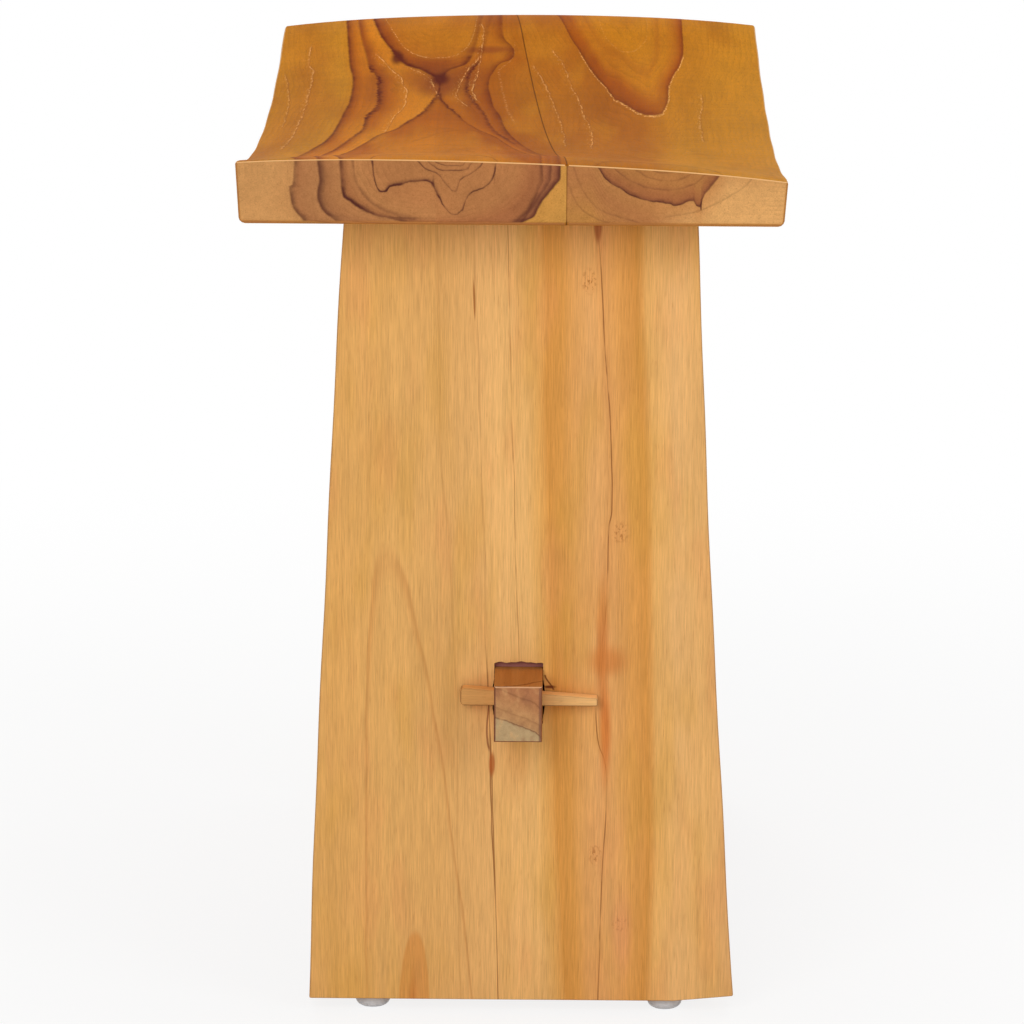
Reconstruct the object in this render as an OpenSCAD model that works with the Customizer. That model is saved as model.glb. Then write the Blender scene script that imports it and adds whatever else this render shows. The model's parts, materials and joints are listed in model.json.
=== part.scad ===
// Saddle-seated shower bench in solid teak.
// A scooped seat, glued up from two boards, is housed and dowelled onto two tapered slab legs.
// Each leg is glued up from two staves. A rail joins the legs: its tenons run through them
// and are locked outside by loose wedges. Nail-on glides carry the feet.
//
// Frame: X across the seat, Y along it, Z up. The front end of the bench is at -Y.
// The origin is on the floor, under the middle of the seat.

/* [Seat] */
// Length of the seat along Y
seat_l = 508; // [420:1:640]
// Width of the seat along X
seat_w = 280; // [250:1:360]
// Thickness of the boards, straight down
seat_t = 32; // [30:0.5:45]
// Height of the seat's crest at the front end
front_h = 465; // [455:0.5:520]
// Height of the seat's crest at the back end
back_h = 466.6; // [455:0.5:520]
// Height of the lowest part of the scoop
scoop_h = 440; // [425:0.5:450]
// Level strip between each end and the scoop, on the middle line
end_strip = 28; // [5:1:40]
// Height over which a strip rounds into the scoop
strip_round = 5; // [2:0.5:8]
// Fall from the middle line to both sides, at the front end
crown_front = 3.6; // [0:0.1:8]
// Fall from the middle line to both sides, halfway
crown_mid = 1.6; // [0:0.1:6]
// Fall from the middle line to both sides, at the back end
crown_back = 5.3; // [0:0.1:8]
// Fall from the middle line to the right side only, at the front end
tilt_front = 4.25; // [-3:0.05:6]
// Fall from the middle line to the right side only, halfway
tilt_mid = -1; // [-3:0.05:3]
// Fall from the middle line to the right side only, at the back end
tilt_back = -1.15; // [-3:0.05:3]
// Lean of the seat's sides, inwards to the underside
seat_lean = 1.8; // [0:0.1:5]
// Easing of the seat's outer arrises
seat_ease = 1.5; // [0.5:0.1:3]
// Where the glue line between the two boards meets the front end
seam_front_x = 28; // [0:0.5:40]
// Where the glue line between the two boards meets the back end
seam_back_x = -2; // [-20:0.5:40]

/* [Legs] */
// Setback of each leg's outer face from the seat's end
overhang = 43; // [41:1:80]
// Thickness of a leg
leg_t = 28; // [24:0.5:40]
// Width of a leg at its top
leg_top_w = 182; // [160:1:210]
// Width of a leg at its foot
leg_foot_w = 226; // [190:1:245]
// Middle of a leg's top across the seat
leg_top_x = 4.6; // [-8:0.1:8]
// Middle of a leg's foot across the seat
leg_foot_x = 6.9; // [-8:0.1:8]
// Sideways bow of a leg at half height
leg_bow = 1.4; // [0:0.1:3]
// Where the glue line between the two staves meets the leg's top
stave_top_x = -20; // [-30:0.5:-18]
// Where the glue line between the two staves meets the leg's foot
stave_foot_x = -5; // [-18:0.5:-4]
// Depth of the leg's top in the seat, at its outer face
housing_depth = 8; // [4:0.5:9]
// Rise of the trimmed corner at the right of each foot
foot_trim_rise = 3; // [1:0.5:6]
// Length of the trimmed corner at the right of each foot
foot_trim_run = 32; // [15:1:34]

/* [Rail and tenons] */
// Width of the rail between the legs
rail_w = 34; // [32:1:50]
// Height of the rail between the legs
rail_h = 60; // [56:1:90]
// Easing of the rail's long arrises
rail_ease = 2; // [0.5:0.5:4]
// Width of a tenon
tenon_w = 25; // [20:0.5:27]
// Height of a tenon
tenon_h = 30; // [28:0.5:34]
// Reach of a tenon beyond the leg's outer face
tenon_out = 36; // [24:0.5:40]
// Bevel round a tenon's end
tenon_bevel = 1.2; // [0.5:0.1:2.5]
// Middle of the rail and its tenons across the seat
rail_x = 4.8; // [4.5:0.1:12]
// Height of the mortise's floor, on which a tenon rests
mortise_z = 159.3; // [130:0.1:200]
// Play beside a tenon, on each side
mortise_side_play = 1.4; // [0.2:0.1:2]
// Play above a tenon
mortise_top_play = 4.2; // [0.5:0.1:6]

/* [Wedges] */
// Length of a wedge
wedge_l = 72; // [56:0.5:90]
// Height of a wedge at its thick end
wedge_thick = 9.8; // [8:0.1:12]
// Height of a wedge at its tip
wedge_thin = 4.6; // [3:0.1:6.5]
// Depth of a wedge, out from the leg
wedge_d = 7.5; // [5:0.1:10]
// Reach of a wedge's thick end beside the tenon
wedge_head_out = 18; // [8:0.5:22]
// Height of a wedge's flat underside above the tenon's
wedge_up = 11.8; // [9:0.1:13]
// Rounding of a wedge's thick end
wedge_round = 2.4; // [0.5:0.1:3.5]
// Clearance round a wedge in its slot and off the leg
wedge_gap = 0.3; // [0.2:0.05:0.6]
// Depth of the slot inside the leg's face, so that a wedge can draw the joint up
slot_inset = 1; // [0.5:0.5:4]

/* [Dowels] */
// Diameter of the dowels in the seat
dowel_d = 10; // [6:0.5:12]
// Reach of a leg's dowels up into the seat
dowel_up = 10; // [6:0.5:11]
// Reach of a leg's dowels down into the leg
dowel_down = 28; // [15:1:40]
// Spacing of the three dowels on a leg's top
dowel_pitch = 60; // [30:1:66]
// Length of the dowels across the seat's glue line
seat_dowel_l = 60; // [30:1:80]
// Spacing of the three dowels across the seat's glue line
seat_dowel_pitch = 110; // [60:1:125]
// Diameter of the dowels across a leg's glue line
stave_dowel_d = 8; // [5:0.5:12]
// Length of the dowels across a leg's glue line
stave_dowel_l = 50; // [30:1:80]
// Height of the lowest dowel across a leg's glue line, above the foot
stave_dowel_foot = 68; // [30:1:120]
// Height of the middle dowel, above the mortise
stave_dowel_mid = 66; // [20:1:90]
// Depth of the highest dowel, below the leg's top
stave_dowel_top = 59; // [48:1:90]
// Clearance round a dowel, on its diameter
dowel_play = 0.1; // [0.05:0.05:0.3]
// Empty depth beyond a dowel's end
dowel_end_gap = 1; // [0.5:0.5:3]

/* [Glides] */
// Diameter of a glide
glide_d = 18.5; // [14:0.5:26]
// Height of a glide, which lifts the leg off the floor
glide_h = 7.2; // [5.5:0.1:12]
// Diameter of the flat that a glide stands on
glide_flat_d = 10; // [6:0.5:12]
// Height of a glide's straight rim
glide_rim = 3.2; // [0.5:0.1:3.6]
// Distance from a foot's left corner to the middle of its glide
glide_left_in = 34; // [20:1:60]
// Distance from a foot's right corner to the middle of its glide
glide_right_in = 36.5; // [35:0.5:60]
// Diameter of a glide's nail
nail_d = 2.4; // [1.5:0.1:3.5]
// Length of a nail above its head
nail_l = 22; // [14:1:40]
// Diameter of a nail's head
nail_head_d = 7; // [5:0.5:9]
// Thickness of a nail's head
nail_head_t = 1.2; // [0.8:0.1:2]
// Cover of plastic under a nail's head
nail_cover = 2.4; // [1.5:0.1:3]
// Clearance round a nail in the wood, on its diameter
nail_play = 0.1; // [0.05:0.05:0.2]

/* [Hidden] */
$fn = 48;
FRONT = -1;
BACK = 1;
LEFT = -1;
RIGHT = 1;

seat_end = seat_l / 2;
seat_side = seat_w / 2;
// Cells of the seat's surface along it, and across each board
seat_rows = 40;
seat_cols = 6;

leg_face = seat_end - overhang;
leg_inner = leg_face - leg_t;
leg_mid = (leg_face + leg_inner) / 2;
// Straight stretches in the drawn side of a leg
leg_steps = 8;
// Reach of a cut past the piece that it cuts
past = 5;

mortise_w = tenon_w + 2 * mortise_side_play;
mortise_h = tenon_h + mortise_top_play;
rail_z = mortise_z + tenon_h / 2;
tenon_end = leg_face + tenon_out;

wedge_z = mortise_z + wedge_up;
wedge_head = tenon_w / 2 + wedge_head_out;
wedge_tip = wedge_l - wedge_head;
// Rounding of a wedge's thin tip
wedge_tip_round = wedge_thin / 5;

dowel_y = leg_mid;
bore_d = dowel_d + dowel_play;
stave_bore_d = stave_dowel_d + dowel_play;
nail_head_z = nail_cover;
nail_top = nail_head_z + nail_head_t + nail_l;

SEAT_WOOD = [0.72, 0.45, 0.16];
SEAT_WOOD_PALE = [0.76, 0.51, 0.19];
LEG_WOOD = [0.84, 0.62, 0.33];
LEG_WOOD_PINK = [0.85, 0.61, 0.37];
RAIL_WOOD = [0.66, 0.43, 0.24];
WEDGE_WOOD = [0.87, 0.68, 0.42];
DOWEL_WOOD = [0.80, 0.66, 0.45];
GLIDE_PLASTIC = [0.72, 0.72, 0.74];
NAIL_STEEL = [0.62, 0.63, 0.65];

// Straight blend from a to b, for t from 0 to 1.
function mix(a, b, t) = a + (b - a) * t;

// Curve through three values: at u = -1 (front), 0 (halfway) and 1 (back).
function through(u, front, mid, back) =
    mid + (back - front) / 2 * u + ((back + front) / 2 - mid) * u * u;

// The lower of two values, rounded off over a height k where they meet.
function soft_min(a, b, k) = min(a, b) - pow(max(k - abs(a - b), 0), 2) / (4 * k);

// Height of the scoop at y, where its curve reaches the end's full height at a distance `reach`.
function crest_h(y) = y < 0 ? front_h : back_h;
function scoop(y, reach) = scoop_h + (crest_h(y) - scoop_h) * pow(y / reach, 2);

// Top of the seat: scooped along it, level at the ends, crowned and a little twisted across it.
function seat_top(x, y) =
    let (u = y / seat_end, w = x / seat_side,
         reach = seat_end - end_strip * (1 - w * w),
         crown = through(u, crown_front, crown_mid, crown_back),
         tilt = through(u, tilt_front, tilt_mid, tilt_back))
    soft_min(scoop(y, reach), crest_h(y), strip_round) - crown * w * w - tilt * w;

// Underside of the seat, which is straight across.
function seat_under(y) = scoop(y, seat_end) - seat_t;

// The glue line between the two boards.
function seam_x(y) = mix(seam_front_x, seam_back_x, (y / seat_end + 1) / 2);

// Top of a leg, level, in its housing. The height t runs from 0 at the foot to 1 at the top.
function leg_top_z(end) = seat_under(end * leg_face) + housing_depth;
function leg_z(end, t) = mix(glide_h, leg_top_z(end), t);
function leg_t_at(end, z) = (z - glide_h) / (leg_top_z(end) - glide_h);
function leg_side_x(side, t) =
    mix(leg_foot_x, leg_top_x, t) - leg_bow * 4 * t * (1 - t)
    + side * mix(leg_foot_w, leg_top_w, t) / 2;
function stave_x(t) = mix(stave_foot_x, stave_top_x, t);

// Heights of the dowels across a leg's glue line.
function stave_dowel_z(end) = [
    glide_h + stave_dowel_foot,
    mortise_z + mortise_h + stave_dowel_mid,
    leg_top_z(end) - stave_dowel_top];

// Middle of a glide across the seat.
function glide_x(side) =
    leg_side_x(side, 0) - side * (side == LEFT ? glide_left_in : glide_right_in);

// ---- Seat ----

// A board is a grid of points on its top and another on its underside.
// The rows run along Y. In each row x rises, from the outer side or to it.
module seat_blank(side) {
    ys = concat([-seat_end],
        [for (i = [0 : seat_rows]) mix(seat_ease - seat_end, seat_end - seat_ease, i / seat_rows)],
        [seat_end]);
    rows = len(ys);
    cols = seat_cols + 2;
    function col_x(j, y, half_w) =
        let (k = side == LEFT ? j : cols - 1 - j)
        k == 0 ? side * half_w
               : mix(side * (half_w - seat_ease), seam_x(y), (k - 1) / seat_cols);
    function eased(i, j) =
        i == 0 || i == rows - 1 || j == (side == LEFT ? 0 : cols - 1) ? seat_ease : 0;
    top = [for (i = [0 : rows - 1]) for (j = [0 : cols - 1])
        let (y = ys[i], x = col_x(j, y, seat_side)) [x, y, seat_top(x, y) - eased(i, j)]];
    under = [for (i = [0 : rows - 1]) for (j = [0 : cols - 1])
        let (y = ys[i], x = col_x(j, y, seat_side - seat_lean)) [x, y, seat_under(y) + eased(i, j)]];
    function up(i, j) = i * cols + j;
    function down(i, j) = up(i, j) + rows * cols;
    function quad(a, b, c, d) = [[a, b, c], [a, c, d]];
    faces = concat(
        [for (i = [0 : rows - 2]) for (j = [0 : cols - 2])
            each quad(up(i, j), up(i + 1, j), up(i + 1, j + 1), up(i, j + 1))],
        [for (i = [0 : rows - 2]) for (j = [0 : cols - 2])
            each quad(down(i, j), down(i, j + 1), down(i + 1, j + 1), down(i + 1, j))],
        [for (i = [0 : rows - 2])
            each quad(down(i + 1, 0), up(i + 1, 0), up(i, 0), down(i, 0))],
        [for (i = [0 : rows - 2]) let (j = cols - 1)
            each quad(down(i, j), up(i, j), up(i + 1, j), down(i + 1, j))],
        [for (j = [0 : cols - 2])
            each quad(down(0, j), up(0, j), up(0, j + 1), down(0, j + 1))],
        [for (j = [0 : cols - 2]) let (i = rows - 1)
            each quad(down(i, j + 1), up(i, j + 1), up(i, j), down(i, j))]);
    polyhedron(points = concat(top, under), faces = faces);
}

module seat_board(side) {
    difference() {
        seat_blank(side);
        for (end = [FRONT, BACK]) {
            leg_housing(end);
            leg_top_dowels(end, bore_d, dowel_end_gap);
        }
        seam_dowels(bore_d, dowel_end_gap);
    }
}

// Level-floored trench in the seat's underside, as wide as the leg where it enters.
module leg_housing(end) {
    floor_z = leg_top_z(end);
    low = seat_under(end * leg_inner) - past;
    t = leg_t_at(end, low);
    left = leg_side_x(LEFT, t);
    right = leg_side_x(RIGHT, t);
    translate([left, end * leg_mid - leg_t / 2, low])
        cube([right - left, leg_t, floor_z - low]);
}

// Dowels across the seat's glue line, at half the board's thickness.
module seam_dowels(d, longer) {
    for (k = [-1 : 1]) {
        y = k * seat_dowel_pitch;
        translate([seam_x(y), y, seat_under(y) + seat_t / 2])
            rotate([0, 90, 0])
                cylinder(d = d, h = seat_dowel_l + 2 * longer, center = true);
    }
}

module seat_board_left() { color(SEAT_WOOD) seat_board(LEFT); }
module seat_board_right() { color(SEAT_WOOD_PALE) seat_board(RIGHT); }
module seat_dowels() { color(DOWEL_WOOD) seam_dowels(dowel_d, 0); }

// ---- Legs ----

// Turns an outline drawn in X and Z into a slab from y0 to y1.
module slab(y0, y1) {
    translate([0, y1, 0]) rotate([90, 0, 0]) linear_extrude(y1 - y0) children();
}

module stave_outline(end, side) {
    seam = [for (t = [0, 1]) [stave_x(t), leg_z(end, t)]];
    edge = [for (i = [leg_steps : -1 : 1])
        let (t = i / leg_steps) [leg_side_x(side, t), leg_z(end, t)]];
    corner = leg_side_x(side, 0);
    foot = side == LEFT
        ? [[corner, glide_h]]
        : [[corner, glide_h + foot_trim_rise], [corner - foot_trim_run, glide_h]];
    polygon(concat(seam, edge, foot));
}

module mortise(end) {
    translate([rail_x - mortise_w / 2, end * leg_mid - leg_t / 2 - past, mortise_z])
        cube([mortise_w, leg_t + 2 * past, mortise_h]);
}

module stave_dowels(end, d, longer) {
    for (z = stave_dowel_z(end))
        translate([stave_x(leg_t_at(end, z)), end * dowel_y, z])
            rotate([0, 90, 0])
                cylinder(d = d, h = stave_dowel_l + 2 * longer, center = true);
}

module leg_top_dowels(end, d, longer) {
    for (k = [-1 : 1])
        translate([leg_top_x + k * dowel_pitch, end * dowel_y, leg_top_z(end) - dowel_down - longer])
            cylinder(d = d, h = dowel_down + dowel_up + 2 * longer);
}

module stave(end, side) {
    difference() {
        slab(end * leg_mid - leg_t / 2, end * leg_mid + leg_t / 2) stave_outline(end, side);
        mortise(end);
        stave_dowels(end, stave_bore_d, dowel_end_gap);
        leg_top_dowels(end, bore_d, dowel_end_gap);
        for (foot = [LEFT, RIGHT]) nail_shank(end, foot, nail_d + nail_play, dowel_end_gap);
    }
}

module front_leg_left_stave() { color(LEG_WOOD) stave(FRONT, LEFT); }
module front_leg_right_stave() { color(LEG_WOOD_PINK) stave(FRONT, RIGHT); }
module back_leg_left_stave() { color(LEG_WOOD) stave(BACK, LEFT); }
module back_leg_right_stave() { color(LEG_WOOD_PINK) stave(BACK, RIGHT); }
module front_leg_dowels() { color(DOWEL_WOOD) stave_dowels(FRONT, stave_dowel_d, 0); }
module back_leg_dowels() { color(DOWEL_WOOD) stave_dowels(BACK, stave_dowel_d, 0); }
module front_seat_dowels() { color(DOWEL_WOOD) leg_top_dowels(FRONT, dowel_d, 0); }
module back_seat_dowels() { color(DOWEL_WOOD) leg_top_dowels(BACK, dowel_d, 0); }

// ---- Rail, tenons and wedges ----

// A rectangle's outline, w by h about the origin, with its corners cut by c.
function cut_corners(w, h, c) = [
    [-w / 2 + c, -h / 2], [w / 2 - c, -h / 2], [w / 2, -h / 2 + c], [w / 2, h / 2 - c],
    [w / 2 - c, h / 2], [-w / 2 + c, h / 2], [-w / 2, h / 2 - c], [-w / 2, -h / 2 + c]];

// Both tenons as one bar through the rail, bevelled round both ends.
module tenon_bar() {
    intersection() {
        translate([-tenon_w / 2, 0, 0]) rotate([90, 0, 90]) linear_extrude(tenon_w)
            polygon(cut_corners(2 * tenon_end, tenon_h, tenon_bevel));
        translate([0, 0, -tenon_h / 2]) linear_extrude(tenon_h)
            polygon(cut_corners(tenon_w, 2 * tenon_end, tenon_bevel));
    }
}

module rail_bar() {
    translate([0, leg_inner, 0]) rotate([90, 0, 0]) linear_extrude(2 * leg_inner)
        polygon(cut_corners(rail_w, rail_h, rail_ease));
}

// Outline of a wedge in X and Z, grown by `gap` above and below, with its thick end at -X.
function wedge_top_z(x) = wedge_z + mix(wedge_thick, wedge_thin, (x + wedge_head) / wedge_l);
module slot_outline() {
    half = tenon_w / 2 + past;
    polygon([[-half, wedge_z - wedge_gap], [half, wedge_z - wedge_gap],
        [half, wedge_top_z(half) + wedge_gap], [-half, wedge_top_z(-half) + wedge_gap]]);
}

module wedge_outline() {
    r = wedge_round;
    s = wedge_tip_round;
    tip_top = wedge_z + wedge_thin;
    polygon([[-wedge_head, wedge_z + r / 2], [-wedge_head + r / 2, wedge_z],
        [wedge_tip - s, wedge_z], [wedge_tip, wedge_z + s],
        [wedge_tip, tip_top - s], [wedge_tip - s, wedge_top_z(wedge_tip - s)],
        [-wedge_head + 1.5 * r, wedge_top_z(-wedge_head + 1.5 * r)],
        [-wedge_head + r / 2, wedge_z + wedge_thick - r / 2],
        [-wedge_head, wedge_z + wedge_thick - 1.5 * r]]);
}

// The back end's wedge is the front one turned half round the middle of the rail.
module at_end(end) {
    translate([rail_x, 0, 0]) rotate([0, 0, end == FRONT ? 0 : 180]) children();
}

module wedge(end) {
    at_end(end) slab(-leg_face - wedge_gap - wedge_d, -leg_face - wedge_gap) wedge_outline();
}

module wedge_slot(end) {
    at_end(end) slab(-leg_face - wedge_d - 2 * wedge_gap, -leg_face + slot_inset) slot_outline();
}

module stretcher() {
    color(RAIL_WOOD) difference() {
        translate([rail_x, 0, rail_z]) union() {
            rail_bar();
            tenon_bar();
        }
        wedge_slot(FRONT);
        wedge_slot(BACK);
    }
}

module front_wedge() { color(WEDGE_WOOD) wedge(FRONT); }
module back_wedge() { color(WEDGE_WOOD) wedge(BACK); }

// ---- Glides ----

// Domed plastic foot, moulded round the head of its nail.
module glide(end, side) {
    flat_r = glide_flat_d / 2;
    bulge = glide_d / 2 - flat_r;
    dome_h = glide_h - glide_rim;
    dome = [for (a = [0 : 10 : 90]) [flat_r + bulge * cos(a), dome_h * (1 - sin(a))]];
    color(GLIDE_PLASTIC) difference() {
        translate([glide_x(side), end * leg_mid, 0])
            rotate_extrude() polygon(concat([[0, glide_h], [glide_d / 2, glide_h]], dome, [[0, 0]]));
        nail(end, side);
    }
}

module nail_shank(end, side, d, longer) {
    translate([glide_x(side), end * leg_mid, nail_head_z + nail_head_t / 2])
        cylinder(d = d, h = nail_top - nail_head_z - nail_head_t / 2 + longer);
}

module nail(end, side) {
    nail_shank(end, side, nail_d, 0);
    translate([glide_x(side), end * leg_mid, nail_head_z])
        cylinder(d = nail_head_d, h = nail_head_t);
}

module front_left_glide() { glide(FRONT, LEFT); }
module front_right_glide() { glide(FRONT, RIGHT); }
module back_left_glide() { glide(BACK, LEFT); }
module back_right_glide() { glide(BACK, RIGHT); }
module glide_nails() {
    color(NAIL_STEEL) for (end = [FRONT, BACK], side = [LEFT, RIGHT]) nail(end, side);
}

seat_board_left();
seat_board_right();
seat_dowels();
front_leg_left_stave();
front_leg_right_stave();
front_leg_dowels();
front_seat_dowels();
back_leg_left_stave();
back_leg_right_stave();
back_leg_dowels();
back_seat_dowels();
stretcher();
front_wedge();
back_wedge();
front_left_glide();
front_right_glide();
back_left_glide();
back_right_glide();
glide_nails();
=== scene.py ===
# Teak shower bench: a scooped seat glued from two boards, two slab legs of two staves each,
# and a rail whose tenons are locked outside the legs by loose wedges.
import bpy
import json
import math
from mathutils import Matrix, Vector


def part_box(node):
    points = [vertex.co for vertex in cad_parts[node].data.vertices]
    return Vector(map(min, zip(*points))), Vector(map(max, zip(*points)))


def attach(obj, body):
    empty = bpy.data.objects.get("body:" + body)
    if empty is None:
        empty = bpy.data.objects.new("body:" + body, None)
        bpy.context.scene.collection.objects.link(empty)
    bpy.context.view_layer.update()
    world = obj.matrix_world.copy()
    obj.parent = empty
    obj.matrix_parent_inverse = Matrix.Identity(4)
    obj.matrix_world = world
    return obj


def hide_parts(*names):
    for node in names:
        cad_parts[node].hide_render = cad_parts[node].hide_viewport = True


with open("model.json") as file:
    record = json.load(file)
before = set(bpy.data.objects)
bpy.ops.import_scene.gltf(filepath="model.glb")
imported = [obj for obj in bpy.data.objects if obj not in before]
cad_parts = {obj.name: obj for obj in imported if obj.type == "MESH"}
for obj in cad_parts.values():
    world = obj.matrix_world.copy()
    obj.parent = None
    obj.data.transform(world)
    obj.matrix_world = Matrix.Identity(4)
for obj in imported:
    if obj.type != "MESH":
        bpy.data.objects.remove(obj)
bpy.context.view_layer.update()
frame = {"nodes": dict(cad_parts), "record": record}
print("frame loaded")

mm = 0.001
front, back = -1, 1
left, right = -1, 1
bothEnds = ((front, "front"), (back, "back"))


# node helpers

def mathWith(operation, swapped=False):
    def work(self, other):
        return calc(operation, other, self) if swapped else calc(operation, self, other)
    return work


# an output of a node, with plain arithmetic
class Field:
    def __init__(self, tree, socket):
        self.tree, self.socket = tree, socket

    def __abs__(self):
        return calc("ABSOLUTE", self)

    __add__, __radd__ = mathWith("ADD"), mathWith("ADD", True)
    __sub__, __rsub__ = mathWith("SUBTRACT"), mathWith("SUBTRACT", True)
    __mul__, __rmul__ = mathWith("MULTIPLY"), mathWith("MULTIPLY", True)
    __truediv__, __rtruediv__ = mathWith("DIVIDE"), mathWith("DIVIDE", True)
    __pow__, __lt__, __gt__ = mathWith("POWER"), mathWith("LESS_THAN"), mathWith("GREATER_THAN")


def plug(tree, node, inputs):
    for key, value in inputs.items():
        if isinstance(value, Field):
            tree.links.new(value.socket, node.inputs[key])
        else:
            node.inputs[key].default_value = value


def addNode(tree, kind, inputs=None, **settings):
    node = tree.nodes.new(kind)
    for key, value in settings.items():
        setattr(node, key, value)
    plug(tree, node, inputs or {})
    return node


# a node in the tree of its inputs
def follow(kind, inputs, **settings):
    tree = next(value.tree for value in inputs.values() if isinstance(value, Field))
    return addNode(tree, kind, inputs, **settings)


def outputOf(node, output=0):
    return Field(node.id_data, node.outputs[output])


def outputsOf(node):
    return {socket.name: Field(node.id_data, socket) for socket in node.outputs}


def calc(operation, *values, clamp=False):
    return outputOf(follow("ShaderNodeMath", dict(enumerate(values)), operation=operation, use_clamp=clamp))


def larger(first, second):
    return calc("MAXIMUM", first, second)


def smaller(first, second):
    return calc("MINIMUM", first, second)


# a colour of 0 to 255 as Blender's own
def tint(r, g, b):
    def linear(c):
        c = c / 255
        return c / 12.92 if c <= 0.04045 else ((c + 0.055) / 1.055) ** 2.4
    return (linear(r), linear(g), linear(b), 1)


def blendTint(factor, first, second):
    first, second = (value if isinstance(value, Field) else tint(*value) for value in (first, second))
    return outputOf(follow("ShaderNodeMix", {0: factor, 6: first, 7: second}, data_type="RGBA"), 2)


def blendOf(factor, first, second):
    return outputOf(follow("ShaderNodeMix", {0: factor, 2: first, 3: second}))


def rescale(value, fromLow, fromHigh, toLow=0.0, toHigh=1.0, shape="SMOOTHSTEP"):
    span = {"Value": value, "From Min": fromLow, "From Max": fromHigh, "To Min": toLow, "To Max": toHigh}
    return outputOf(follow("ShaderNodeMapRange", span, interpolation_type=shape))


# 1 at nought, down to 0 between low and high
def fading(value, low, high):
    return rescale(value, low, high, 1.0, 0.0)


# colours along a value: stops are (value, r, g, b), and the value runs from the first stop to the last
def toneAlong(value, stops):
    low, high = stops[0][0], stops[-1][0]
    node = follow("ShaderNodeValToRGB", {"Fac": rescale(value, low, high, shape="LINEAR")})
    dots = node.color_ramp.elements
    while len(dots) < len(stops):
        dots.new(1.0)
    for dot, stop in zip(dots, stops):
        dot.position = (stop[0] - low) / (high - low)
    for dot, stop in zip(dots, stops):
        dot.color = tint(*stop[1:])
    return outputOf(node)


# a smooth curve through points (place, value)
def curveOf(value, points):
    points = sorted(points)
    lowPlace, highPlace = points[0][0], points[-1][0]
    lowValue, highValue = min(v for p, v in points), max(v for p, v in points)
    node = follow("ShaderNodeFloatCurve", {"Value": rescale(value, lowPlace, highPlace, shape="LINEAR")})
    curve = node.mapping.curves[0]
    while len(curve.points) < len(points):
        curve.points.new(0.5, 0.5)
    for dot, (place, level) in zip(curve.points, points):
        dot.handle_type = "AUTO_CLAMPED"
        dot.location = ((place - lowPlace) / (highPlace - lowPlace),
                        (level - lowValue) / (highValue - lowValue))
    node.mapping.update()
    return rescale(outputOf(node), 0, 1, lowValue, highValue, "LINEAR")


def separate(vector):
    return outputsOf(follow("ShaderNodeSeparateXYZ", {0: vector}))


def combine(x, y, z):
    return outputOf(follow("ShaderNodeCombineXYZ", {"X": x, "Y": y, "Z": z}))


def objectPlace(tree):
    return outputOf(addNode(tree, "ShaderNodeTexCoord"), "Object")


# patterns are worked out in millimetres
def millimetres(tree):
    place = {0: objectPlace(tree), "Scale": 1 / mm}
    return outputOf(follow("ShaderNodeVectorMath", place, operation="SCALE"))


def normalOf(tree):
    return outputOf(addNode(tree, "ShaderNodeNewGeometry"), "Normal")


# noise from about -1 to 1, its lumps size millimetres across and stretched along each axis
def noiseAt(place, size, detail=2.0, stretch=(1, 1, 1), shift=0.0):
    moved = follow("ShaderNodeMapping", {"Vector": place, "Location": (shift, shift * 0.7, shift * 1.3),
                                         "Scale": [1 / (size * s) for s in stretch]})
    node = follow("ShaderNodeTexNoise", {"Vector": outputOf(moved), "Scale": 1.0, "Detail": detail})
    return rescale(outputOf(node), 0.25, 0.75, -1.0, 1.0, "LINEAR")


# a noise that fades in from low to high
def patches(place, size, detail, stretch, shift, low, high, least=0.0, most=1.0):
    return rescale(noiseAt(place, size, detail, stretch, shift), low, high, least, most)


def shaded(tone, *shifts):
    gain = 1.0
    for shift in shifts:
        gain = gain + shift
    return outputOf(follow("ShaderNodeVectorMath", {0: tone, "Scale": gain}, operation="SCALE"))


# effects that several woods share

def newGroup(name, inputs, outputs):
    group = bpy.data.node_groups.new(name, "ShaderNodeTree")
    for socket, value in inputs.items():
        kind = "NodeSocketVector" if value is None else "NodeSocketFloat"
        made = group.interface.new_socket(socket, in_out="INPUT", socket_type=kind)
        if value is not None:
            made.default_value = value
    for socket in outputs:
        group.interface.new_socket(socket, in_out="OUTPUT", socket_type="NodeSocketFloat")
    given = outputsOf(group.nodes.new("NodeGroupInput"))
    result = group.nodes.new("NodeGroupOutput")
    return group, given, result


def useGroup(group, inputs):
    return outputsOf(follow("ShaderNodeGroup", inputs, node_tree=group))


# distance from the pith, in rings pressed towards a rounded lens
def makeGrowthRings():
    group, given, result = newGroup(
        "growthRings",
        {"Across": 0, "Height": 0, "Pith Across": 0, "Pith Height": 0, "Spread": 1, "Upright": 1.5,
         "Roundness": 2.4, "Side Blend": 1},
        ["Ring", "Right"])
    offset = given["Across"] - given["Pith Across"]
    wide = abs(offset / given["Spread"])
    deep = abs(given["Pith Height"] - given["Height"]) * given["Upright"]
    total = wide ** given["Roundness"] + deep ** given["Roundness"]
    plug(group, result, {"Ring": total ** (1.0 / given["Roundness"]),
                         "Right": rescale(offset / given["Side Blend"], -1, 1)})
    return group


# a late-wood line where Value passes Level: soft over Inner below it, sharp over Outer above it
def makeRingLine():
    group, given, result = newGroup("ringLine", {"Value": 0, "Level": 0, "Inner": 2, "Outer": 1}, ["Mask"])
    off = given["Value"] - given["Level"]
    halo = fading(larger(off / given["Outer"], off * -1.0 / given["Inner"]), 0.0, 1.0)
    core = halo ** 2.6
    plug(group, result, {"Mask": halo * 0.4 + core * 0.6})
    return group


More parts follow.
